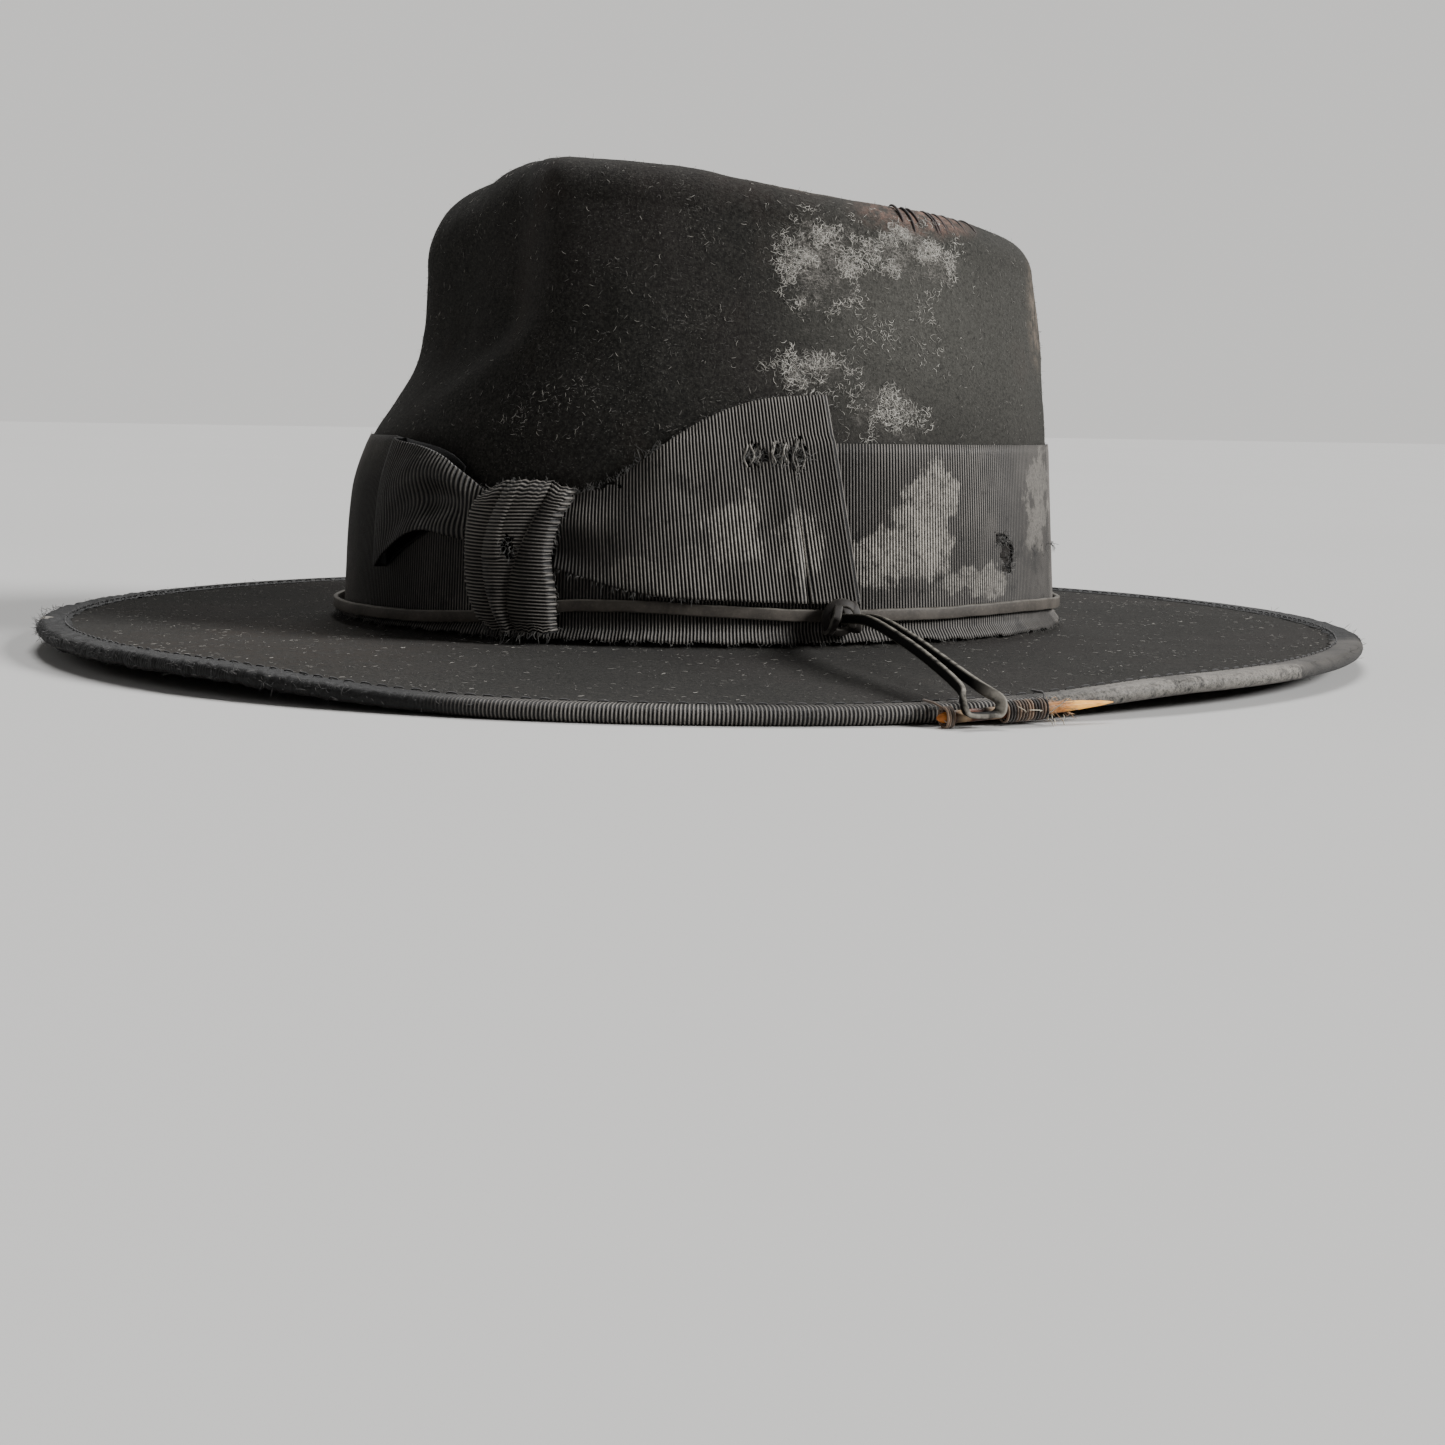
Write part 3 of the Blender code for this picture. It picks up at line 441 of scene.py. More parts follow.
def grid_faces(rows, columns, wrap_columns=False, wrap_rows=False):
    r = np.arange(rows if wrap_rows else rows - 1)[:, None]
    c = np.arange(columns if wrap_columns else columns - 1)[None, :]
    up, beside = (r + 1) % rows, (c + 1) % columns
    low, high = r * columns, up * columns
    return np.stack([low + c, low + beside, high + beside, high + c], axis=-1).reshape(-1, 4)


def tube_faces(rings, sides):
    """Faces of a tube with flat ends; the number of sides is even."""
    cap = np.array([(0, k, k + 1, k + 2) for k in range(1, sides - 2, 2)])
    far_cap = cap + (rings - 1) * sides
    return np.concatenate([grid_faces(rings, sides, wrap_columns=True), cap[:, ::-1], far_cap])


def closed_ring(name, rings, material, tone=None, label="edge"):
    """Piece from rings of points that close on themselves both ways."""
    faces = grid_faces(*rings.shape[:2], wrap_columns=True, wrap_rows=True)
    return make_mesh(name, rings, faces, material, tone, label)


def sheet(name, front, back, material, wraps=False, closed_end=False, whole=None, crest=None):
    """Closed sheet between two grids; whole is False in holes, and crest is 1 on the tops of ribs."""
    rows, columns = front.shape[:2]
    spans = columns if wraps else columns - 1
    if whole is None:
        whole = np.ones((rows, columns), bool)
    pairs = whole[:-1] & whole[1:]
    kept = (pairs & np.roll(pairs, -1, axis=1))[:, :spans]
    r, c = np.nonzero(kept)
    low, low_next = r * columns + c, r * columns + (c + 1) % columns
    high, high_next = low + columns, low_next + columns
    faces = np.stack([low, low_next, high_next, high], axis=1)
    side = rows * columns
    framed = np.pad(kept, 1, mode="wrap" if wraps else "constant")
    framed[0] = False
    framed[-1] = closed_end
    neighbours = ((framed[:-2, 1:-1], low, low_next), (framed[1:-1, 2:], low_next, high_next),
                  (framed[2:, 1:-1], high_next, high), (framed[1:-1, :-2], high, low))
    rims = []
    for present, a, b in neighbours:
        open_here = ~present[r, c]
        a, b = a[open_here], b[open_here]
        rims.append(np.stack([b, a, a + side, b + side], axis=1))
    faces = np.concatenate([faces, faces[:, ::-1] + side] + rims)
    vertices = np.concatenate([front.reshape(-1, 3), back.reshape(-1, 3)])
    tone = None
    if crest is not None:
        front_tone = np.broadcast_to(crest, (rows, columns)).ravel()
        tone = np.concatenate([front_tone, np.full(side, BACK_OF_RIBBON)])
    return make_mesh(name, vertices, faces, material, tone, "crest")


def ribs(count):
    """Profile of rounded cords side by side, 0 in the grooves and 1 on top; count is in cords."""
    return np.clip(1.25 * np.abs(np.sin(np.pi * count)) - 0.25, 0.0, 1.0) ** 0.8


def threads(name, paths, radius, material, sides=4, tone=None):
    """Many threads as one piece; paths is an array of shape (threads, points, 3)."""
    paths = np.asarray(paths, float)
    count, length = paths.shape[:2]
    tangents = unit(np.gradient(paths, axis=1))
    last = np.where(np.abs(tangents[:, 0, 2:3]) < 0.8, [[0.0, 0.0, 1.0]], [[1.0, 0.0, 0.0]])
    side = np.empty_like(paths)
    for k in range(length):
        last = last - tangents[:, k] * np.sum(last * tangents[:, k], axis=1, keepdims=True)
        last = unit(last)
        side[:, k] = last
    across = np.cross(tangents, side)
    radii = np.broadcast_to(np.asarray(radius, float).reshape(-1, 1, 1, 1), (count, 1, 1, 1))
    along = np.linspace(-1, 1, length)[None, :, None, None]
    taper = np.sqrt(np.clip(1.03 - along ** 8, 0, 1))
    turn = circle(sides)[None, None, :, None]
    ring = side[:, :, None] * np.cos(turn) + across[:, :, None] * np.sin(turn)
    vertices = paths[:, :, None] + ring * radii * taper
    faces = tube_faces(length, sides)[None] + (np.arange(count) * length * sides)[:, None, None]
    tones = np.repeat(rng.random(count) if tone is None else tone, length * sides)
    return make_mesh(name, vertices, faces.reshape(-1, 4), material, tones)


def sweep(path, section, first_side=UP, swell=None, roll=None):
    """Rings of a section carried along a path; section is an array of (side, across)."""
    path = np.asarray(path, float)
    tangents = unit(np.gradient(path, axis=0))
    swell = np.ones(len(path)) if swell is None else swell
    roll = np.zeros(len(path)) if roll is None else roll
    side = np.array(first_side)
    rings = []
    for point, tangent, size, turn in zip(path, tangents, swell, roll):
        side = side - tangent * np.dot(side, tangent)
        side /= np.linalg.norm(side)
        across = np.cross(tangent, side)
        u = side * math.cos(turn) + across * math.sin(turn)
        v = across * math.cos(turn) - side * math.sin(turn)
        rings.append(point + (u * section[:, :1] + v * section[:, 1:]) * size)
    return np.array(rings)


def tube_piece(name, rings, material, tone=None, label="tone"):
    """Closed piece from rings of points, an even number in each, with domed ends."""
    ends = []
    for ring, neighbour in ((rings[0], rings[1]), (rings[-1], rings[-2])):
        middle = ring.mean(axis=0)
        out = unit(middle - neighbour.mean(axis=0))
        size = np.linalg.norm(ring - middle, axis=1).max()
        ends.append([middle + (ring - middle) * shrink + out * size * push
                     for shrink, push in ((0.85, 0.16), (0.5, 0.28), (0.05, 0.34))])
    rings = np.concatenate([np.array(ends[0][::-1]), rings, np.array(ends[1])])
    return make_mesh(name, rings, tube_faces(*rings.shape[:2]), material, tone, label)


def rounded_strip(wide, thick, corner, steps=3):
    """Section of a flat lace with rounded corners; wide runs along the first axis."""
    points = []
    for quarter, (right, top) in enumerate(((1, 1), (-1, 1), (-1, -1), (1, -1))):
        for k in range(steps + 1):
            angle = math.pi / 2 * (quarter + k / steps)
            points.append((right * (wide / 2 - corner) + corner * math.cos(angle),
                           top * (thick / 2 - corner) + corner * math.sin(angle)))
    return np.array(points)


def spline(points, steps):
    points = np.array(points, dtype=float)
    ends = [2 * points[0] - points[1], *points, 2 * points[-1] - points[-2]]
    samples = []
    for a, b, c, d in zip(ends, ends[1:], ends[2:], ends[3:]):
        for k in range(steps):
            t = k / steps
            samples.append(0.5 * (2 * b + (c - a) * t + (2 * a - 5 * b + 4 * c - d) * t * t
                                  + (3 * b - a - 3 * c + d) * t ** 3))
    samples.append(points[-1])
    return np.array(samples)


# ---------------------------------------------------------------- materials

class Look:
    """A node material under construction; sockets go in and come out."""

    def __init__(self, name):
        self.material = bpy.data.materials.new(name)
        self.material.use_nodes = True
        self.tree = self.material.node_tree
        self.shader = self.tree.nodes["Principled BSDF"]
        self.place = self.node("ShaderNodeTexCoord").outputs["Object"]

    def node(self, kind, inputs=None, **settings):
        made = self.tree.nodes.new(kind)
        for label, value in settings.items():
            setattr(made, label, value)
        for label, value in (inputs or {}).items():
            socket = made.inputs[label]
            if isinstance(value, bpy.types.NodeSocket):
                self.tree.links.new(value, socket)
            else:
                socket.default_value = value
        return made

    def maths(self, operation, a, b=0.0):
        return self.node("ShaderNodeMath", {0: a, 1: b}, operation=operation).outputs[0]

    def times(self, a, b):
        return self.maths("MULTIPLY", a, b)

    def plus(self, a, b):
        return self.maths("ADD", a, b)

    def most(self, a, b):
        return self.maths("MAXIMUM", a, b)

    def vectors(self, operation, a, b):
        return self.node("ShaderNodeVectorMath", {0: a, 1: b}, operation=operation).outputs[0]

    def step(self, value, low, high):
        return self.node("ShaderNodeMapRange", {"Value": value, "From Min": low, "From Max": high},
                         interpolation_type="SMOOTHSTEP").outputs[0]

    def noise(self, size, detail=4.0, roughness=0.55, stretch=(1, 1, 1), turn=(0, 0, 0), shift=(0, 0, 0)):
        """Noise with features of about size millimetres; stretch lengthens them along an axis."""
        turns = [math.radians(a) for a in turn]
        mapped = self.node("ShaderNodeMapping", {"Vector": self.place, "Location": shift, "Rotation": turns,
                                                 "Scale": stretch}, vector_type="TEXTURE")
        return self.node("ShaderNodeTexNoise", {"Vector": mapped.outputs[0], "Scale": 1 / (size * MM),
                                                "Detail": detail, "Roughness": roughness}).outputs["Fac"]

    def strands(self, size, width, shift=(0, 0, 0)):
        """Thin wandering lines, where a noise crosses its middle value."""
        level = self.maths("ABSOLUTE", self.maths("SUBTRACT", self.noise(size, 4.0, 0.7, shift=shift), 0.5))
        return self.step(level, width, 0.0)

    def cells(self, size):
        return self.node("ShaderNodeTexVoronoi", {"Vector": self.place,
                                                  "Scale": 1 / (size * MM)}).outputs["Distance"]

    def near(self, centre, size, inner=0.45, wander=0.0):
        """1 inside an ellipsoid and 0 outside, in millimetres; wander makes its outline stray."""
        place = self.place
        if wander:
            stray = self.node("ShaderNodeTexNoise", {"Vector": place, "Scale": 1 / (9 * MM), "Detail": 5.0})
            level = self.vectors("SUBTRACT", stray.outputs["Color"], (0.5, 0.5, 0.5))
            scale = {0: level, "Scale": wander * 2 * MM}
            shift = self.node("ShaderNodeVectorMath", scale, operation="SCALE")
            place = self.vectors("ADD", place, shift.outputs[0])
        moved = self.vectors("SUBTRACT", place, [c * MM for c in centre])
        scaled = self.vectors("MULTIPLY", moved, [1 / (s * MM) for s in size])
        length = self.node("ShaderNodeVectorMath", {0: scaled}, operation="LENGTH").outputs["Value"]
        return self.step(length, 1.0, inner)

    def axis(self, direction, start, end):
        """0 at start to 1 at end along a direction, in millimetres from the origin."""
        along = self.node("ShaderNodeVectorMath", {0: self.place, 1: list(direction)},
                          operation="DOT_PRODUCT").outputs["Value"]
        return self.node("ShaderNodeMapRange", {"Value": along, "From Min": start * MM,
                                                "From Max": end * MM}).outputs[0]

    def tone(self, label="tone"):
        return self.node("ShaderNodeAttribute", attribute_name=label).outputs["Fac"]

    def mix(self, share, first, second):
        mixed = self.node("ShaderNodeMix", {0: share}, data_type="RGBA")
        for index, value in ((6, first), (7, second)):
            if isinstance(value, bpy.types.NodeSocket):
                self.tree.links.new(value, mixed.inputs[index])
            else:
                mixed.inputs[index].default_value = (*value, 1.0)
        return mixed.outputs[2]

    def tint(self, colour, towards, share, amount):
        """The colour, moved towards another by share times amount."""
        return self.mix(self.times(share, amount), colour, towards)

    def ramp(self, value, stops):
        made = self.node("ShaderNodeValToRGB", {"Fac": value})
        elements = made.color_ramp.elements
        for element, (position, colour) in zip((elements[0], elements[1]), (stops[0], stops[-1])):
            element.position = position
            element.color = (*colour, 1.0)
        for position, colour in stops[1:-1]:
            elements.new(position).color = (*colour, 1.0)
        return made.outputs["Color"]

    def finish(self, colour, roughness, height=None, depth=0.1, sheen=0.0, specular=0.3,
               sheen_tint=(1, 1, 1)):
        """Connects a colour and a bump height, whose full depth is in millimetres."""
        inputs = self.shader.inputs
        self.tree.links.new(colour, inputs["Base Color"])
        inputs["Roughness"].default_value = roughness
        inputs["Specular IOR Level"].default_value = specular
        inputs["Sheen Weight"].default_value = sheen
        inputs["Sheen Roughness"].default_value = 0.6
        inputs["Sheen Tint"].default_value = (*sheen_tint, 1.0)
        if height is not None:
            bump = self.node("ShaderNodeBump", {"Height": height, "Distance": depth * MM, "Strength": 1.0})
            self.tree.links.new(bump.outputs[0], inputs["Normal"])
        return self.material


def felt_look():
    """Black felt, stained and rubbed, with pale fibres and matted lint in places."""
    look = Look("worn_black_felt")
    cloud = look.noise(60, 5.0)
    colour = look.ramp(cloud, ((0.3, (0.0065, 0.0068, 0.0062)), (0.5, (0.0098, 0.0095, 0.0088)),
                               (0.68, (0.0145, 0.0125, 0.0120))))
    stain = look.step(look.noise(30, 5.0, shift=(0.3, 0.1, 0.0)), 0.58, 0.74)
    colour = look.tint(colour, (0.026, 0.017, 0.014), stain, 0.35)
    grain = look.step(look.noise(0.9, 4.0, 0.75), 0.36, 0.70)
    colour = look.tint(colour, (0.045, 0.043, 0.038), grain, 0.62)
    rub_grain = look.step(look.noise(0.8, 4.0, 0.8), 0.2, 0.7)
    for centre, size, amount in RUBBED_SIDES:
        rubbed = look.times(look.near(centre, size, 0.1), rub_grain)
        colour = look.tint(colour, (0.085, 0.083, 0.074), rubbed, amount)

    fibres = None
    for k, turn in enumerate(((0, 20, 0), (0, -35, 40), (70, 10, 0), (15, 80, -30))):
        streak = look.noise(0.42, 2.0, 0.5, stretch=(4.0, 1.0, 1.0), turn=turn, shift=(0.02 * k, 0, 0))
        streak = look.step(streak, 0.66, 0.75)
        fibres = look.most(fibres, streak) if fibres else streak
    patchy = look.step(look.noise(12, 4.0), 0.36, 0.64)
    fibre_share = look.times(fibres, look.plus(look.times(patchy, 0.45), 0.1))
    colour = look.mix(fibre_share, colour, (0.17, 0.165, 0.15))

    web = look.noise(0.6, 4.0, 0.8, stretch=(2.2, 1.0, 1.0))
    clumps = look.noise(4.0, 9.0, 0.82, stretch=(1.5, 1.0, 1.0))
    strings = look.most(look.strands(2.6, 0.022), look.strands(1.7, 0.026, (0.3, 0.2, 0.1)))
    lint = None
    for centre, size, amount in LINT_PATCHES:
        soft = look.near(centre, size, 0.2, 10.0)
        clump = look.step(look.plus(clumps, look.times(soft, 0.24)), 0.58, 0.84)
        broken = look.step(look.plus(web, look.times(clump, 0.07)), 0.52, 0.60)
        broken = look.plus(look.times(broken, 0.5), look.times(strings, 1.0))
        broken = look.times(look.times(broken, clump), amount)
        lint = look.most(lint, broken) if lint else broken
    colour = look.tint(colour, (0.42, 0.395, 0.36), lint, 0.55)

    edge_noise = look.noise(3.0, 6.0, 0.75)
    for centre, size, tint, amount in WORN_EDGES:
        worn = look.times(look.near(centre, size, 0.2), look.step(edge_noise, 0.36, 0.66))
        colour = look.tint(colour, tint, worn, amount)

    height = look.plus(look.noise(0.5, 3.0, 0.6), look.times(fibres, 0.6))
    height = look.plus(height, look.times(look.noise(4.0, 4.0), 1.2))
    height = look.plus(height, look.times(lint, 1.0))
    return look.finish(colour, 0.95, height, 0.2, sheen=0.035, specular=0.08, sheen_tint=(0.85, 0.82, 0.8))


def ribbon_look(name, pale_patches=(), painted_shade=(), cord=(0.235, 0.216, 0.195), rough=0.6):
    """Grosgrain: faded and dusty on top of its cords, and near black between them, where the ribbon's own
    black is deepened by painted shade; given patches are darkened by painted shade.
    """
    look = Look(name)
    top = look.step(look.tone("crest"), 0.58, 1.0)
    faded = look.mix(look.step(look.noise(26, 5.0), 0.32, 0.68), tuple(c * 0.42 for c in cord), cord)
    grime = look.step(look.noise(9.0, 6.0, 0.7, shift=(0.1, 0.0, 0.2)), 0.54, 0.70)
    faded = look.tint(faded, (0.016, 0.015, 0.014), grime, 0.7)
    scuff = look.step(look.noise(1.0, 8.0, 0.85), 0.48, 0.70)
    faded = look.tint(faded, (0.32, 0.295, 0.265), scuff, 0.5)
    # Painted shade: the ribbon darkened in the given patches where shade falls
    for centre, size, amount in painted_shade:
        faded = look.tint(faded, (0.012, 0.0105, 0.0095), look.near(centre, size, 0.2, 6.0), amount)
    # Near black in the grooves between the cords: the ribbon's own black, deepened as painted shade
    colour = look.mix(top, (0.0012, 0.0011, 0.0011), faded)
    ragged = look.noise(4.5, 12.0, 0.84, stretch=(1.0, 1.0, 2.4))
    specks = look.times(look.step(look.noise(0.7, 6.0, 0.85), 0.34, 0.56),
                        look.step(look.noise(2.6, 6.0, 0.75, shift=(0.05, 0.0, 0.1)), 0.30, 0.52))
    for centre, size, amount, in_grooves in pale_patches:
        inside = look.near(centre, size, 0.3, 9.0)
        edge = look.step(look.plus(ragged, look.times(inside, 0.34)), 0.66, 0.72)
        filled = look.plus(look.times(top, 1.0 - in_grooves), in_grooves)
        share = look.times(look.times(edge, specks), filled)
        colour = look.tint(colour, (0.50, 0.465, 0.41), share, amount)
    weave = look.plus(look.noise(0.35, 2.0), look.times(scuff, 0.6))
    return look.finish(colour, rough, weave, 0.08, sheen=0.02, specular=0.3)


def lace_look(name, face, worn=(0.17, 0.16, 0.14), shine=0.3):
    """Waxed leather with a chalky face, paler where it shows its flesh side, and paler along its edges in
    places: rubbed wear with a painted highlight.
    """
    look = Look(name)
    grain = look.noise(1.1, 6.0, 0.7)
    colour = look.mix(look.step(look.noise(9.0, 4.0), 0.35, 0.7), tuple(c * 0.55 for c in face), face)
    chalky = look.step(look.noise(0.9, 6.0, 0.8), 0.45, 0.75)
    colour = look.tint(colour, tuple(c * 2.4 for c in face), chalky, 0.35)
    # Edges paler in places: rubbed wear, and a painted highlight where light catches the edges
    rubbed = look.times(look.tone("edge"), look.step(look.noise(3.0, 5.0), 0.25, 0.6))
    colour = look.tint(colour, worn, rubbed, 0.7)
    return look.finish(colour, 0.62, grain, 0.08, specular=shine)


def thread_look(name, dark, light, roughness=0.8):
    look = Look(name)
    colour = look.mix(look.tone(), dark, light)
    fuzz = look.noise(0.4, 3.0)
    return look.finish(colour, roughness, fuzz, 0.05, sheen=0.2, specular=0.2)


def quill_look(along, start, end):
    """Bands along the quill: amber end, dark and cream bands, then a long amber taper."""
    look = Look("banded_quill")
    place = look.axis(along, start, end)
    wobble = look.times(look.maths("SUBTRACT", look.noise(1.5, 5.0), 0.5), 0.03)
    place = look.plus(place, wobble)
    colour = look.ramp(place, QUILL_BANDS)
    scratch = look.step(look.noise(0.5, 4.0, stretch=(6, 1, 1), turn=(0, 0, 20)), 0.45, 0.7)
    colour = look.tint(colour, (0.10, 0.035, 0.01), scratch, 0.35)
    grooves = look.step(look.noise(0.35, 2.0, stretch=(8, 1, 1), turn=(0, 0, 20)), 0.42, 0.6)
    grooves = look.times(grooves, look.step(place, 0.70, 0.78))
    colour = look.tint(colour, (1.0, 0.60, 0.15), grooves, 0.5)
    return look.finish(colour, 0.5, look.noise(0.6, 4.0), 0.04, specular=0.25)


def leather_look():
    look = Look("brown_roan")
    cells = look.cells(1.4)
    colour = look.mix(look.step(look.noise(16, 5.0), 0.35, 0.7), (0.075, 0.032, 0.016), (0.14, 0.065, 0.03))
    dark = look.step(look.noise(22, 5.0, shift=(0.2, 0.2, 0.2)), 0.5, 0.75)
    colour = look.mix(dark, colour, (0.05, 0.024, 0.014))
    height = look.plus(cells, look.times(look.noise(3.0, 5.0), 0.6))
    return look.finish(colour, 0.48, height, 0.10, specular=0.45)


def satin_look():
    look = Look("black_satin")
    colour = look.mix(look.noise(20, 4.0), (0.018, 0.015, 0.018), (0.040, 0.034, 0.042))
    weave = look.noise(0.4, 2.0, stretch=(4, 1, 1))
    return look.finish(colour, 0.34, weave, 0.03, sheen=0.2, specular=0.5)


# ---------------------------------------------------------------- felt

def brim_row(bearing, share):
    """Row across the brim; share is 0 at the crown's break and 1 at the binding."""
    base = wall(bearing, BRIM_TOP, BREAK_RADIUS)
    rim = brim_edge(bearing, BRIM_TOP, BINDING_REACH + 1.0)
    row = base + (rim - base) * share
    row[:, 2] = BRIM_TOP - edge_droop(bearing) * share ** DROOP_POWER
    return row


def felt_rows():
    """Outer face of the felt with how far each row may stray, and the rows between which the lining lies."""
    b = full_turn(FELT_COLUMNS)
    rows, give = [], []

    def add(row, stray=0.0):
        rows.append(row)
        give.append(stray)

    for inset in np.linspace(BINDING + GAP, BINDING_REACH + 1.0, 6):
        add(brim_edge(b, BRIM_TOP, inset))
    for share in np.linspace(1.0, 0.0, 40)[1:]:
        add(brim_row(b, share), 0.45 * math.sin(math.pi * share) ** 0.7)
    for arc in np.linspace(0.0, 1.0, 8)[1:] * math.pi / 2:
        add(wall(b, BRIM_TOP + BREAK_RADIUS * (1 - math.cos(arc)), BREAK_RADIUS * (1 - math.sin(arc))))
    for height in np.linspace(BRIM_TOP + BREAK_RADIUS, LINING_LOW, 16)[1:]:
        add(wall(b, height))
    low_row = len(rows) - 1
    for height in np.linspace(LINING_LOW, BAND_TOP, 6)[1:]:
        add(wall(b, height))
    top = ridge_at(b) - shoulder_radius(b)
    for share in np.linspace(0.0, 1.0, 34)[1:]:
        add(wall(b, BAND_TOP + (top - BAND_TOP) * share), float(smooth_step(0.02, 0.3, share)))
    seam_row = len(rows) - 1
    for turn in np.linspace(0.0, 2.0, 46)[1:]:
        add(crown_top(b, turn), 1.0)
    return np.array(rows), np.array(give), low_row, seam_row


def crown_normals(grid):
    """Outward normals of the crown, level across the crease where its two sides meet."""
    normals = normals_of(grid, True)
    normals[-1] = normals[-2]
    normals[-1, :, 1] = 0.0
    normals[-1] = unit(normals[-1])
    return normals


def relaxed(grid, normals, give):
    """The blocked shape with the slow dents and puckers of an old hat."""
    slow = noise_on(grid, 52.0, 2, 3.1) * 1.1
    quick = noise_on(grid, 15.0, 3, 7.7) * 0.35
    return grid + normals * ((slow + quick) * give[:, None])[..., None]


def scattered(grid, normals, count, density):
    """Random places on a wrapping grid, more of them where density is high, with their normals."""
    columns = grid.shape[1]
    beside = np.roll(grid, -1, axis=1)
    area = np.linalg.norm(np.cross(beside[:-1] - grid[:-1], grid[1:] - grid[:-1]), axis=2)
    weight = area * density[:-1]
    cells = rng.choice(weight.size, count, p=(weight / weight.sum()).ravel())
    r, c = np.divmod(cells, columns)
    n = (c + 1) % columns
    u, v = rng.random((2, count, 1))
    low = grid[r, c] * (1 - u) + grid[r, n] * u
    high = grid[r + 1, c] * (1 - u) + grid[r + 1, n] * u
    return low * (1 - v) + high * v, normals[r, c]


def lying_fibres(place, normal, length, lift, curl, points=5):
    """Curved fibres that lie near a surface; lift is how far their ends and middles stand off it."""
    count = len(place)
    along = unit(np.cross(normal, rng.normal(size=(count, 3))))
    across = np.cross(normal, along)
    t = np.linspace(-0.5, 0.5, points)[None, :, None]
    size = length[:, None, None]
    bend = rng.normal(size=(count, 1, 1)) * curl
    rise = np.abs(rng.normal(size=(count, 1, 1))) * lift
    skew = rng.normal(size=(count, 1, 1)) * lift
    path = place[:, None] + along[:, None] * t * size + across[:, None] * bend * size * (t * t - 0.1)
    return path + normal[:, None] * (0.04 + rise * (0.25 - t * t) * 4 + np.abs(skew * t * 2))


def standing_fibres(place, normal, length, points=4):
    """Short fuzz that leans off a surface."""
    count = len(place)
    lean = unit(normal + rng.normal(size=(count, 3)) * 0.75)
    t = np.linspace(0.0, 1.0, points)[None, :, None]
    size = length[:, None, None]
    sag = rng.normal(size=(count, 1, 3)) * 0.35
    return place[:, None] + lean[:, None] * t * size + sag * size * t * t


def strew(grid, normals, density, kind):
    """Fibres over the felt; without a lift and curl they stand up."""
    name, count, lengths, radii, look_name, dark, light, darker, lying = kind
    place, normal = scattered(grid, normals, count, density)
    length = rng.uniform(*lengths, count)
    if lying:
        paths = lying_fibres(place, normal, length, *lying)
    else:
        paths = standing_fibres(place, normal, length)
    radius = rng.uniform(*radii, count)
    look = thread_look(look_name, dark, light)
    piece = threads(name, paths, radius, look, tone=rng.random(count) ** darker)
    belongs(piece, "hat", "felt")


def make_felt():
    grid, give, low_row, seam_row = felt_rows()
    grid = relaxed(grid, crown_normals(grid), give)
    normals = crown_normals(grid)
    felt = sheet("felt_hat_body", grid, grid - normals * FELT, felt_look(), wraps=True, closed_end=True)
    weld(felt)
    belongs(felt, "hat", "felt", "felt_body")

    height = grid[..., 2]
    not_covered = np.where((height > BRIM_TOP + 1.0) & (height < BAND_TOP), 0.0, 1.0)
    linty = np.ones(height.shape)
    for centre, size, amount in FIBRE_PATCHES:
        linty += 11.0 * amount * in_patch(grid, centre, size)
    linty *= 0.3 + smooth_step(-0.3, 0.5, noise_on(grid, 18.0, 3, 11.0))
    matted = np.zeros(height.shape)
    for centre, size, amount in LINT_PATCHES:
        matted = np.maximum(matted, amount * in_patch(grid, centre, np.array(size) * 0.95))
    matted = matted * smooth_step(-0.12, 0.22, noise_on(grid, 7.0, 4, 17.0)) + 1e-6
    matted[height < BAND_TOP] = 0.0

    for density, kind in zip((linty * not_covered, matted, not_covered), FELT_FIBRES):
        strew(grid, normals, density, kind)
    return grid, normals, low_row, seam_row


# ---------------------------------------------------------------- binding and its stitches

def binding_section():
    """Points round the folded ribbon as (inset, height): its outer face, then its inner face."""
    middle, half = (BINDING_TOP + BINDING_BOTTOM) / 2, (BINDING_TOP - BINDING_BOTTOM) / 2
    fold = 2.0
    sunk = ((3.6, 0.0), (4.4, 0.0), (5.2, 0.05), (6.0, 0.1), (6.8, 0.17), (7.5, 0.25), (8.2, 0.37),
            (BINDING_REACH, SEWN_EDGE_SUNK))
    outside = [(inset, BINDING_BOTTOM) for inset in (BINDING_REACH, 6.0, 3.6)]
    for turn in np.radians(np.linspace(-90, 90, 9)):
        outside.append((fold - fold * math.cos(turn), middle + half * math.sin(turn)))
    outside += [(inset, BINDING_TOP - depth) for inset, depth in sunk]
    under_top, over_bottom = BINDING_TOP - RIBBON_THIN, BINDING_BOTTOM + BINDING
    inside = [(BINDING_REACH, BINDING_TOP - SEWN_EDGE_SUNK - 0.2), (6.0, under_top), (4.0, under_top),
              (BINDING, under_top - 0.6), (BINDING, over_bottom + 0.6), (4.0, over_bottom),
              (6.0, over_bottom), (BINDING_REACH, over_bottom)]
    return outside, inside


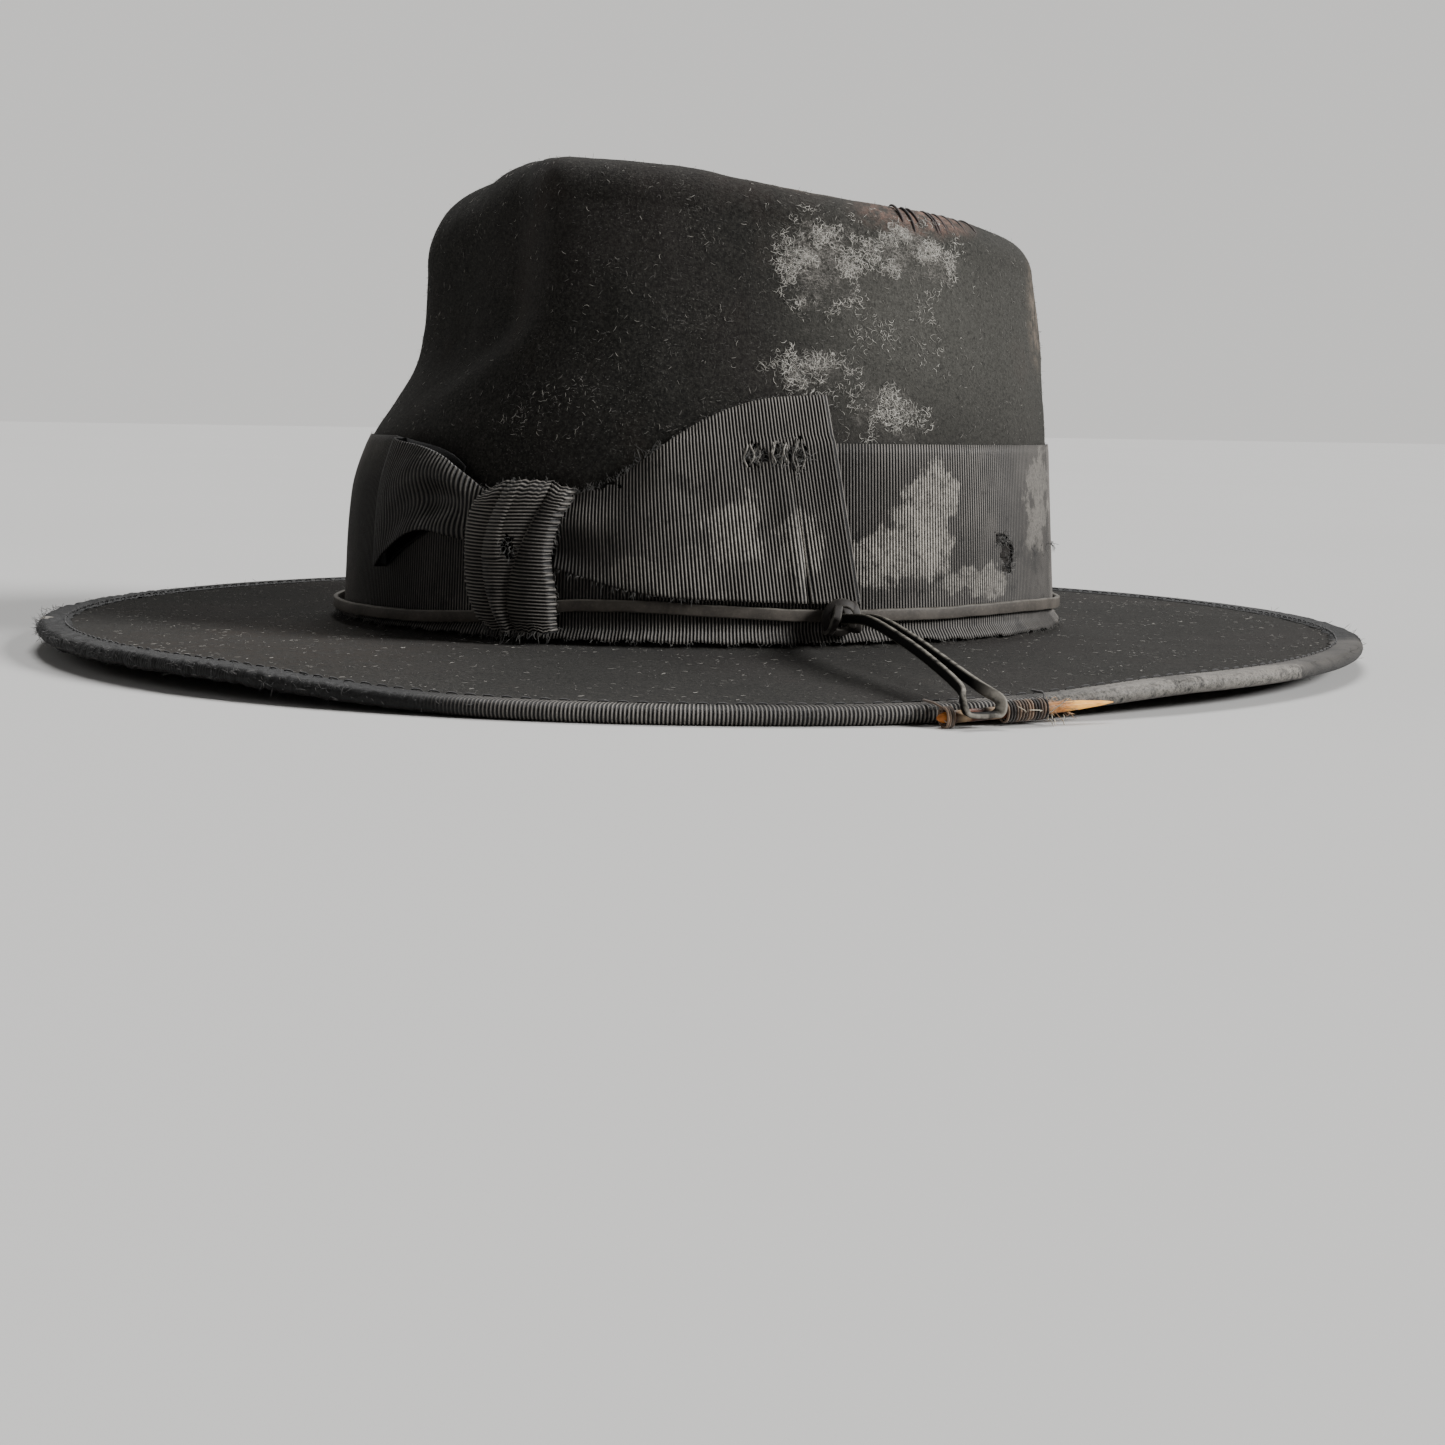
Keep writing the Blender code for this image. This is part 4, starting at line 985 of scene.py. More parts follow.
def make_binding():
    """Ribbon folded round the brim's edge: ribbed at the left front, felted and torn towards the back."""
    count = int(round(np.pi * (BRIM_HALF_LENGTH + BRIM_HALF_WIDTH) / RIB_PITCH))
    bearings = full_turn(count * 4)
    edge = brim_edge(bearings, BINDING_TOP)
    middle, half = (BINDING_TOP + BINDING_BOTTOM) / 2, (BINDING_TOP - BINDING_BOTTOM) / 2
    outside, inside = binding_section()

    ribbed = between(*BINDING_RIBBED, bearings)
    rubbed = between(*BINDING_RUBBED, bearings)
    frayed = 1.0 - between(*BINDING_UNFRAYED, bearings)
    torn = between(*BINDING_TORN, bearings)
    crumple = hump(-4.0, 16.0, bearings) + hump(180.0, 7.0, np.abs(bearings))
    worn = 0.15 + 0.85 * smooth_step(-0.2, 0.25, noise_on(edge, 60.0, 2, 5.0))
    worn = np.maximum(0.45 * worn * (1.0 - rubbed), ribbed)
    ragged = noise_on(edge, 3.5, 3, 9.0)
    wander = noise_on(edge, 14.0, 3, 23.0)
    crest = ribs(bearings / 360.0 * count)
    rise = BINDING_RIB_HEIGHT * (crest - 0.5) * worn

    rings, grooves = [], []
    for k, (inset, height) in enumerate(outside + inside):
        lip = ragged * ((0.7 + 1.2 * crumple) if inset == BINDING_REACH else 0.0)
        row = brim_edge(bearings, height, inset + lip)
        split = np.zeros(len(bearings))
        if k < len(outside):
            sideways = unit(row * [1, 1, 0])
            lean = unit(UP * (height - middle) / half + sideways * max(0.0, 1.0 - inset / 2.0))
            creased = 0.35 * crumple * noise_on(row, 5.0, 3, 19.0) * (height > middle)
            creased = creased + 0.45 * frayed * noise_on(row, 2.4, 4, 29.0)
            split = hump(5.6 + 1.1 * wander, 0.6, inset) + hump(7.9 + 0.7 * wander, 0.5, inset)
            split = split * torn * (height > middle)
            row = row + lean * (rise + creased - 0.12 - 0.45 * split)[:, None]
        rings.append(row)
        grooves.append(split)

    heights = np.array([height for inset, height in outside + inside])[:, None]
    # Painted light: the tone rises with height up the binding's section, so its top is painted lighter and
    # its lower face near black, in the dull and the felted parts; the rubbed part is also paler from wear
    facing_up = (heights - BINDING_BOTTOM) / (BINDING_TOP - BINDING_BOTTOM)
    dull_and_painted_top_light = 0.50 + 0.09 * facing_up + rubbed * (0.10 + 0.06 * facing_up)
    tone = crest * worn + dull_and_painted_top_light * (1 - worn)
    felted = frayed * (0.86 - 0.25 * ragged)
    tone = tone * (1.0 - felted) + (0.48 + 0.115 * smooth_step(0.5, 0.9, facing_up)) * felted
    bald = in_patch(brim_edge(bearings, BRIM_TOP), BALD_SPOT, (9.0, 8.0, 9.0))
    bald = smooth_step(0.25, 0.7, bald * (1.0 + noise_on(edge, 2.0, 3, 3.0))) * 0.75
    # Painted shade: the torn split lines are darkened as well as sunk
    tone = tone * (1.0 - 0.16 * torn) * (1.0 - bald) * (1.0 - 0.45 * np.clip(np.array(grooves), 0.0, 1.0))
    look = ribbon_look("binding_grosgrain", BINDING_PALE_PATCHES)
    belongs(closed_ring("brim_ribbon_binding", np.array(rings), look, tone, "crest"),
            "hat", "ribbon", "brim_binding")


def make_binding_stitches():
    stitches = int(round(np.pi * (BRIM_HALF_LENGTH + BRIM_HALF_WIDTH - 15.0) / BINDING_STITCH))
    t = np.linspace(0.0, 1.0, 7)
    bearing = full_turn(stitches)[:, None] + 360.0 / stitches * 0.74 * t[None, :]
    wander = 0.25 * noise_on(brim_edge(bearing, 0.0), 12.0, 2, 2.0)
    height = BINDING_TOP - 0.14 + 0.22 * np.sin(math.pi * t) - 0.35 * (np.abs(2 * t - 1) ** 6)
    path = brim_edge(bearing, height, BINDING_REACH - 1.5 + wander)
    black = thread_look("black_thread", (0.008, 0.008, 0.008), (0.03, 0.028, 0.028))
    line = threads("binding_running_stitch", path, 0.2, black, sides=6)
    belongs(line, "hat", "thread", "binding_stitching")


def make_binding_fuzz():
    """Fibres off the binding, more of them on the frayed left front."""
    bearings = np.concatenate([rng.uniform(-179, -112, 900), rng.uniform(-112, 176, 460)])
    count = len(bearings)
    height = rng.uniform(BINDING_BOTTOM + 0.4, BINDING_TOP, count)
    place = brim_edge(bearings, height, rng.uniform(-0.15, 2.0, count))
    out = unit(place * [1, 1, 0])
    hairs = standing_fibres(place, out + UP * 0.5, rng.uniform(0.5, 2.0, count), 5)
    hairs[..., 2] = np.maximum(hairs[..., 2], LOWEST_HAIR)
    radius = rng.uniform(0.03, 0.06, count)
    look = thread_look("binding_threads", (0.012, 0.012, 0.012), (0.09, 0.085, 0.08))
    belongs(threads("binding_fuzz", hairs, radius, look, tone=rng.random(count) ** 2), "hat", "ribbon")


def on_shoulder(x, turn, clear):
    """Places just clear of the left shoulder of the crown."""
    bearing = -np.degrees(np.arccos(x / wall(0.0, 108.0)[0]))
    here = crown_top(bearing, turn)
    normal = unit(np.cross(crown_top(bearing + 0.05, turn) - here, crown_top(bearing, turn + 0.02) - here))
    return here + normal * clear[..., None]


def make_mend():
    """Whip stitches over the worn rear end of the left ridge."""
    t = np.linspace(0.0, 1.0, 12)
    lift = 0.42 - 0.6 * np.abs(2 * t - 1) ** 5
    paths = []
    for x in np.linspace(MEND_FROM, MEND_TO, MEND_STITCHES) + rng.normal(size=MEND_STITCHES) * 0.9:
        low, high = 0.28 + rng.uniform(-0.12, 0.12), 0.90 + rng.uniform(-0.10, 0.06)
        slant = rng.uniform(0.6, 1.6) * (1 - t)
        paths.append(on_shoulder(x + slant, low + (high - low) * t, lift))
    look = thread_look("mending_thread", (0.006, 0.004, 0.004), (0.03, 0.014, 0.012))
    mend = threads("mend_whip_stitches", paths, 0.34, look, sides=6)
    belongs(mend, "hat", "mending_thread", "mend_stitching")


# ---------------------------------------------------------------- hatband and bow

def bearings_by_length(height):
    """Bearings spaced evenly along the wall at a height, five to a rib, and the ribs before each."""
    dense = np.linspace(-180.0, 180.0, 4001)
    steps = np.linalg.norm(np.diff(wall(dense, height), axis=0), axis=1)
    length = np.concatenate([[0.0], np.cumsum(steps)])
    count = int(round(length[-1] / RIB_PITCH)) * 5
    even = np.linspace(0.0, length[-1], count, endpoint=False)
    return np.interp(even, length, dense), np.arange(count) / 5.0


def without_holes(points, spots, seed):
    """True where the ribbon is still there; spots are (centre, half size) with ragged edges."""
    ragged = noise_on(points, 2.2, 4, seed) * 0.55
    whole = np.ones(points.shape[:-1], bool)
    for centre, size in spots:
        distance = np.linalg.norm((points - np.array(centre)) / np.array(size), axis=-1)
        whole &= distance + ragged > 1.0
    return whole


def make_hatband():
    """Ribbon round the crown, rubbed smooth at its left rear, with a ragged lower edge and two holes."""
    bearings, rib = bearings_by_length(35.0)
    heights = np.concatenate([np.linspace(BAND_LOW, 14.0, 6), np.linspace(14.0, 24.0, 5)[1:],
                              np.linspace(24.0, 38.0, 27)[1:], np.linspace(38.0, BAND_TOP, 10)[1:]])
    share = np.linspace(0.0, 1.0, len(heights))[:, None]
    frayed_low = 0.7 * noise_on(wall(bearings, BAND_LOW), 5.0, 4, 21.0) + 0.25
    soft = noise_on(wall(bearings, heights[:, None]), 25.0, 2, 4.0) * 0.12
    z = heights[:, None] + np.where(share < 0.1, frayed_low * (1 - share * 10), 0.0)
    z = np.where(z > BAND_GATHER_FROM, band_height(bearings, z), z)
    base = straight(BAND_FLARE, heights)[:, None] + BAND
    middle = wall(bearings, 30.0)
    rubbed_flat = smooth_step(70.0, 90.0, middle[:, 0]) * (middle[:, 1] < 0)
    rubbed_flat = 0.8 * rubbed_flat * (1.0 - smooth_step(98.0, 100.0, middle[:, 0]))
    fade = np.minimum(1.0, np.minimum(share, 1 - share) * 40 + 0.35) * (1.0 - rubbed_flat)
    crest = ribs(rib)
    front = wall(bearings, z, base + BAND_RIB_HEIGHT * (crest - 0.5) * fade - 0.12 + soft)
    back = wall(bearings, z, base - BAND + 0.12)
    crest = crest * (1.0 - rubbed_flat) + 0.75 * rubbed_flat
    look = ribbon_look("band_grosgrain", BAND_DUST, FRONT_PAINTED_SHADE, cord=(0.205, 0.188, 0.17))
    band = sheet("grosgrain_hatband", front, back, look, wraps=True,
                 whole=without_holes(front, BAND_HOLES, 31.0), crest=crest)
    belongs(band, "hat", "ribbon", "hatband")
    return front, normals_of(front, True)


def wing_path(face, fold_columns, rib_count, under_columns, last_under):
    """Samples along a wing: share of the way out, offset, distance beyond its end, and rib count."""
    path = []
    for s in np.linspace(0.0, 1.0, rib_count * RIB_SAMPLES):
        path.append((s, float(curve_through(face, s)), 0.0, s * rib_count))
    fold = (face[-1][1] - BOW_UNDER) / 2
    for turn in np.linspace(0.0, math.pi, fold_columns)[1:-1]:
        path.append((1.0, BOW_UNDER + fold * (1 + math.cos(turn)), fold * math.sin(turn),
                     rib_count + fold * turn / RIB_PITCH))
    for s in np.linspace(1.0, last_under, under_columns):
        path.append((s, BOW_UNDER, 0.0, 0.0))
    return [np.array(column) for column in zip(*path)]


def wing(name, path, bearing_at, low, high, share, material, sculpt, spots=()):
    """Bow wing: a ribbon that goes out along its face, folds at its end and comes back underneath."""
    s, offset, beyond, rib = path
    share = share[:, None]
    z = curve_through(low, s) * (1 - share) + curve_through(high, s) * share
    out = np.broadcast_to(offset, z.shape) + sculpt(s, share) * (np.arange(len(s)) < np.argmax(beyond))
    crest = ribs(rib)
    edge = np.minimum(1.0, np.minimum(share, 1 - share) * 30 + 0.3)
    middle = wall(bearing_at(s, share, beyond), z, out)
    normals = normals_of(middle)
    front = middle + normals * ((RIBBON_HALF - 0.05) + RIB_HEIGHT * (crest - 0.5) * edge)[..., None]
    back = middle - normals * (RIBBON_HALF - 0.05)
    whole = without_holes(middle, spots, 41.0) if spots else None
    return sheet(name, front, back, material, whole=whole, crest=crest), front, normals


def make_rear_wing():
    """The fan of ribbon towards the back, with a crease near its end and its tears."""

    def bearing_at(s, share, beyond):
        end = REAR_WING_END_LOW + (REAR_WING_END_TOP - REAR_WING_END_LOW) * share
        return left_bearing(REAR_WING_START + (end - REAR_WING_START) * s + beyond)

    def sculpt(s, share):
        fold = 0.832 + 0.014 * share + 0.005 * np.sin(7.0 * share)
        crease = 0.5 * hump(fold - 0.035, 0.022, s) - 0.85 * hump(fold, 0.011, s)
        crease *= (1 - smooth_step(0.6, 0.78, share)) * (0.6 + 0.4 * np.sin(5.0 * share + 1.0))
        gather = 0.7 * np.sin(9.0 * share + 2.0) * hump(0.0, 0.16, s)
        hollow = -1.3 * hump(0.24, 0.12, s) * smooth_step(0.5, 1.0, share)
        low, high = curve_through(REAR_WING_LOW, s), curve_through(REAR_WING_HIGH, s)
        over_band = share - (BAND_TOP - low) / (high - low)
        band_edge = -0.75 * smooth_step(0.0, 0.035, over_band) * smooth_step(0.35, 0.5, s)
        waves = 0.25 * np.sin(31.0 * s + 3.0 * share) * smooth_step(0.3, 0.6, s)
        return crease + gather + hollow + band_edge + waves

    path = wing_path(REAR_WING_FACE, 10, REAR_WING_RIBS, 60, 0.5)
    look = ribbon_look("wing_grosgrain", WING_DUST, WING_PAINTED_SHADE)
    thing, front, normals = wing("bow_rear_wing_ribbon", path, bearing_at, REAR_WING_LOW, REAR_WING_HIGH,
                                 np.linspace(0.0, 1.0, 64), look, sculpt, WING_TEARS + (WING_EDGE_TEAR,))
    belongs(thing, "hat", "ribbon", "bow_rear_wing")
    return front, normals


def make_loose_cords():
    """Cords of the ribbon that hang in loops across the tears in the rear wing."""
    t = np.linspace(0.0, 1.0, 22)
    arch = np.sin(np.pi * t)
    paths = []
    for centre, size in WING_TEARS:
        spread = 2 * size[0] * 0.85
        for k in range(int(round(spread / LOOSE_CORD_SPACING))):
            x = centre[0] - spread / 2 + LOOSE_CORD_SPACING * k + rng.uniform(-0.3, 0.3)
            top, low = centre[2] + size[2] + 0.7, centre[2] - size[2] - rng.uniform(0.2, 1.2)
            bulge = 3.8 + rng.uniform(-0.8, 1.3) * arch + 0.3 * np.sin(9 * t + k)
            sideways = rng.uniform(-1.6, 1.6) * arch ** 2 + 0.2 * np.sin(7 * t + 2 * k)
            paths.append(wall(left_bearing(x + sideways), top + (low - top) * t, bulge))
    look = thread_look("pale_cords", (0.04, 0.037, 0.034), (0.30, 0.28, 0.25))
    belongs(threads("wing_loose_cords", paths, 0.24, look, sides=6), "hat", "ribbon")


def make_front_wing():
    """The puffed loop of ribbon towards the front, which runs round the crown by bearing."""
    fold_bearing = (FRONT_WING_END - FRONT_WING_START) / 100.0 * 1.1

    def bearing_at(s, share, beyond):
        return FRONT_WING_START + (FRONT_WING_END - FRONT_WING_START) * s + beyond * fold_bearing

    def sculpt(s, share):
        folds = 1.3 * np.sin(2.6 * math.pi * share + 3.5 * s) * between(0.0, 0.3, 0.6, 1.0, s)
        hollow = -1.6 * hump(0.42, 0.10, s) * hump(0.35, 0.3, share)
        return folds + hollow - 1.2 * hump(0.12, 0.1, s) * np.abs(2 * share - 1)

    path = wing_path(FRONT_WING_FACE, 14, FRONT_WING_RIBS, 50, 0.25)
    # Darker cords than the other ribbons: painted shade, as the front wing lies in shade
    look = ribbon_look("front_wing_grosgrain", (), FRONT_PAINTED_SHADE, cord=(0.15, 0.14, 0.125), rough=0.42)
    thing = wing("bow_front_wing_ribbon", path, bearing_at, FRONT_WING_LOW, FRONT_WING_HIGH,
                 np.linspace(1.0, 0.0, 48), look, sculpt)[0]
    belongs(thing, "hat", "ribbon", "bow_front_wing")


def make_knot():
    """Three pleats of ribbon over the middle of the bow, with a flap, curled edges and a tear."""
    count = int(round((KNOT_TOP - KNOT_LOW) / RIB_PITCH))
    z = np.linspace(KNOT_LOW, KNOT_TOP, count * RIB_SAMPLES + 1)[:, None]
    across = np.linspace(0.0, 1.0, 121)[None, :]
    from_middle = np.abs(2 * across - 1)
    first = 0.27 + 0.03 * np.sin(z / 6.0)
    second = 0.50 + 0.26 * smooth_step(16.0, 48.0, z) - 0.05 * np.sin(z / 8.0)
    pleat = np.zeros((len(z), across.size))
    for left, right, rise in ((0.0, first, 1.3), (first, second, 2.6), (second, 1.0, 1.9)):
        inside = np.clip((across - left) / (right - left), 0.0, 1.0)
        body = np.where((across >= left) & (across <= right), np.sin(np.pi * inside), 0.0) ** 0.5
        pleat = np.maximum(pleat, body * rise)
    flap = smooth_step(29.0, 30.2, z) * (across > first) * (across < 0.5)
    pleat += 0.55 * flap * smooth_step(0.0, 0.04, across - first) * smooth_step(0.0, 0.05, 0.5 - across)

    zigzag = np.sin(2 * np.pi * (z - KNOT_LOW) / (RIB_PITCH * 2))
    edge_wave = (0.16 + 0.1 * np.sin(z / 3.1)) * zigzag + 0.3 * np.sin(z / 2.7)
    side = np.where(across < 0.5, -1.0, 1.0) * smooth_step(0.86, 1.0, from_middle)
    left_edge, right_edge = curve_through(KNOT_LEFT, z), curve_through(KNOT_RIGHT, z)
    x = left_edge + (right_edge - left_edge) * across + side * edge_wave

    ragged = 1.6 * noise_on(across[..., None] * [23.0, 0.0, 0.0], 2.4, 3, 2.0)
    near_low = 1 - smooth_step(KNOT_LOW, KNOT_LOW + 4.0, z)
    near_top = smooth_step(KNOT_TOP - 8.0, KNOT_TOP, z)
    sagging = 2.6 * smooth_step(0.3, 0.0, across) + 1.6 * smooth_step(0.72, 1.0, across)
    height = z + near_low * (0.6 * ragged + 0.5 + 2.4 * np.maximum(0.0, 0.2 - across) / 0.2)
    height = height + near_top * (0.5 * ragged - sagging)
    curl = 1.3 * smooth_step(0.9, 1.0, from_middle) ** 2
    middle = wall(left_bearing(x), height, curve_through(KNOT_OFFSET, z) + pleat - curl)
    normals = normals_of(middle)
    slant = 2.2 * np.maximum(0.0, across - second) - 1.6 * np.maximum(0.0, first - across)
    crest = ribs((z - KNOT_LOW) / RIB_PITCH + 0.5 * np.sin(3 * across + 1.0) + slant)
    front = middle + normals * (0.22 + BAND_RIB_HEIGHT * crest)[..., None]
    knot = sheet("bow_knot_ribbon", front, middle - normals * 0.35, ribbon_look("knot_grosgrain"),
                 whole=without_holes(middle, KNOT_TEARS, 51.0), crest=crest)
    belongs(knot, "hat", "ribbon", "bow_knot")
    return front, normals


def frayed_threads(name, places, directions, lengths, radius, look, droop, points=8):
    """Loose ribbon threads from places, along directions, with a wander and a droop."""
    count = len(places)
    t = np.linspace(0.0, 1.0, points)[None, :, None]
    size = lengths[:, None, None]
    bend = rng.normal(size=(count, 1, 3)) * 0.35
    twist = rng.normal(size=(count, 1, 3)) * 0.16
    path = (places[:, None] + directions[:, None] * t * size + bend * size * t * t
            + twist * size * np.sin(2 * np.pi * t * 1.3) * t)
    path[..., 2] -= (droop * size * t * t)[..., 0]
    return threads(name, path, radius, look)


def make_frays(wing_front, wing_normals, knot_front, knot_normals, band_front, band_normals):
    """Thread ends at the tears, cut ends and worn edges of the ribbons."""
    places, directions, lengths = [], [], []

    def take(points, normals, upward, count, low, high, spread=0.5, outward=0.5, sideways=0.0):
        """Some threads from among points; upward is how strongly they head up, or down where negative."""
        pick = rng.integers(0, len(points), count)
        lean = [sideways, 0.0, upward] + normals[pick] * outward + rng.normal(size=(count, 3)) * spread
        places.append(points[pick])
        directions.append(unit(lean))
        lengths.append(rng.uniform(low, high, count))

    def take_round(points, normals, spots, wider, *numbers):
        for centre, size in spots:
            near = in_patch(points, centre, np.array(size) * wider) > 0.05
            take(points[near], normals[near], *numbers)

    face = slice(0, REAR_WING_RIBS * RIB_SAMPLES)
    wing_front, wing_normals = wing_front[:, face], wing_normals[:, face]
    take(wing_front[-1, 6:190], wing_normals[-1, 6:190], 0.9, 150, 0.6, 2.6, sideways=0.1)
    take(wing_front[-1, 190:], wing_normals[-1, 190:], 1.0, 60, 0.3, 0.9)
    take(wing_front[0, :240], wing_normals[0, :240], -1.0, 50, 0.4, 1.6)
    take_round(wing_front, wing_normals, WING_TEARS, 1.25, 0.2, 46, 1.0, 4.2, 0.9, 0.45)
    take(knot_front[0], knot_normals[0], -1.0, 60, 0.8, 3.0, 0.4, 0.3)
    take(knot_front[-1], knot_normals[-1], 0.6, 24, 0.4, 1.4)
    for column in (0, -1):
        take(knot_front[:, column], knot_normals[:, column], 0.0, 70, 0.4, 1.5, 0.7, 0.6)
    take_round(knot_front, knot_normals, KNOT_TEARS, 1.3, -0.3, 30, 0.8, 2.4, 0.7, 0.6)
    take_round(band_front, band_normals, BAND_HOLES, 1.3, 0.0, 60, 0.8, 3.0, 0.9, 0.5)
    columns = band_front.shape[1]
    at_the_back = slice(int(columns * 0.43), int(columns * 0.5))
    take(band_front[0], band_normals[0], -0.8, 700, 0.3, 1.2, 0.6, 0.8)
    take(band_front[-1], band_normals[-1], 1.0, 150, 0.2, 0.8, 0.6, 0.5)
    take(band_front[24, at_the_back], band_normals[24, at_the_back], 0.0, 30, 1.0, 3.5, 0.9, 0.8)
    look = thread_look("ribbon_threads", (0.014, 0.014, 0.014), (0.13, 0.125, 0.115))
    frays = frayed_threads("ribbon_frays", np.concatenate(places), np.concatenate(directions),
                           np.concatenate(lengths), 0.055, look, 0.25)
    belongs(frays, "hat", "ribbon")


# ---------------------------------------------------------------- lace, knot and loop

# Mask along a lace's edges, where lace_look paints rubbed wear and a painted highlight
def edge_tone(section, wide):
    return smooth_step(wide / 2 - 0.4, wide / 2 - 0.02, np.abs(section[:, 0]))


def lace_ring(name, path, outward, look, wide, thick):
    """Flat lace round a closed path, its thin way along outward."""
    section = rounded_strip(wide, thick, 0.45)
    side = unit(np.cross(np.roll(path, -1, axis=0) - np.roll(path, 1, axis=0), outward))
    rings = path[:, None] + side[:, None] * section[:, :1] + outward[:, None] * section[:, 1:]
    return closed_ring(name, rings, look, np.tile(edge_tone(section, wide), len(path)))


def knot_frame(offset):
    """Place on the lace knot's line out from the crown, with the directions along and out."""
    bearing = float(left_bearing(LACE_KNOT_X))
    height = float(curve_through(LACE_HEIGHT, bearing))
    place = wall(bearing, height, offset)
    out = unit(place - wall(bearing, height, 0.0))
    return place, np.cross(UP, out), out


def make_lace_band():
    b = full_turn(1080)
    middle = curve_through(LACE_HEIGHT, b)
    wobble = noise_on(wall(b, middle), 14.0, 2, 6.0)
    offset = straight(BAND_FLARE, middle - LACE_WIDE / 2) + BAND + GAP + LACE_THICK / 2
    path = wall(b, middle + 0.25 * wobble, offset + 0.15 * wobble)
    outward = unit(wall(b, middle, 3.0) - wall(b, middle, 0.0))
    look = lace_look("waxed_lace", (0.072, 0.062, 0.052))
    lace = lace_ring("leather_lace_band", path, outward, look, LACE_WIDE, LACE_THICK - 0.5)
    belongs(lace, "hat", "lace", "lace_band")


def make_lace_knot():
    """Half hitch: an open ring over the lace's front and three slanting turns round it."""
    place, along, out = knot_frame(LACE_KNOT_OFFSET)
    look = lace_look("dark_waxed_lace", (0.030, 0.026, 0.023))
    t = circle(60)[:, None]
    ring = along * np.cos(t) * 3.9 + UP * np.sin(t) * 3.8
    middle = place - along * 0.6 + out * 0.4
    turns = [(middle + ring + out * 0.9 * np.sin(t + 0.6), ring * 0.16 + out * 0.9, 2.4)]
    for shift, tall, deep, tilt in ((-2.6, 4.1, 2.3, 0.30), (1.2, 2.9, 2.4, -0.45), (3.3, 3.6, 2.2, -0.2)):
        middle = place + along * shift - out * 0.2
        turn = UP * np.cos(t) * tall + out * np.sin(t) * deep
        turns.append((middle + (turn + along * np.cos(t) * tall * tilt), turn, 2.3))
    for k, (path, outward, wide) in enumerate(turns):
        piece = lace_ring("lace_knot_turn_%d" % (k + 1), path, unit(outward), look, wide, 1.25)
        belongs(piece, "hat", "lace", *(["lace_knot"] if k == 0 else []))


def quill_frame():
    """Middle of the quill, then its direction towards the back of the hat, outward and upward."""
    bearing = -math.degrees(math.acos(QUILL_MIDDLE_X / (BRIM_HALF_LENGTH + QUILL_OUT)))
    edge_height = (BRIM_TOP + BRIM_UNDER) / 2
    middle = brim_edge(bearing, edge_height, -QUILL_OUT)
    along = unit(brim_edge(bearing + 5.0, edge_height) - brim_edge(bearing - 5.0, edge_height))
    out = unit(np.cross(along, UP))
    return middle, along, out, np.cross(out, along)


def make_lace_loop():
    """Doubled lace from the knot out over the brim, its bight hooked down over the quill."""
    root = knot_frame(LOOP_ROOT_OFFSET)[0]
    middle, quill_along = quill_frame()[:2]
    hook = middle + quill_along * HOOK_FROM_MIDDLE
    run = (hook - root) * [1, 1, 0]
    reach = float(np.linalg.norm(run))
    run /= reach
    beside = np.cross(UP, run)
    past = reach + QUILL_RADIUS + GAP + LOOP_WIDE / 2 + 0.2
    knot_height, hook_height = root[2], hook[2]
    strand = ((0.0, 1.3, knot_height), (18.0, 1.4, knot_height + 1.2), (40.0, 1.5, knot_height - 1.2),
              (58.0, 1.6, knot_height - 4.2), (reach - 4.0, 2.5, hook_height + 5.6),
              (reach + 2.0, 4.3, hook_height + 3.7), (past, 4.3, hook_height + 1.7),
              (past, 3.2, hook_height + 0.6), (past, 0.0, hook_height + 0.3))
    back = [(outward, -sideways, z) for outward, sideways, z in reversed(strand[:-1])]
    samples = spline(list(strand) + back, 14)
    path = root + samples[:, :1] * run + samples[:, 1:2] * beside
    path[:, 2] = samples[:, 2]
    folded = between(0.23, 0.29, 0.40, 0.46, np.arange(len(path)) / (len(path) - 1))
    wide = LOOP_WIDE - 0.1
    section = rounded_strip(wide, LOOP_THICK - 0.3, 0.45)
    pale = np.pad(folded, 3, mode="edge")[:, None]
    look = lace_look("black_waxed_lace", (0.0045, 0.0042, 0.0038), (0.26, 0.24, 0.205), 0.1)
    loop = tube_piece("lace_loop_strands", sweep(path, section, roll=-0.9 * folded), look,
                      np.maximum(edge_tone(section, wide), pale), "edge")
    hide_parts("lace_loop")
    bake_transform(loop)


# ---------------------------------------------------------------- quill and its lashing

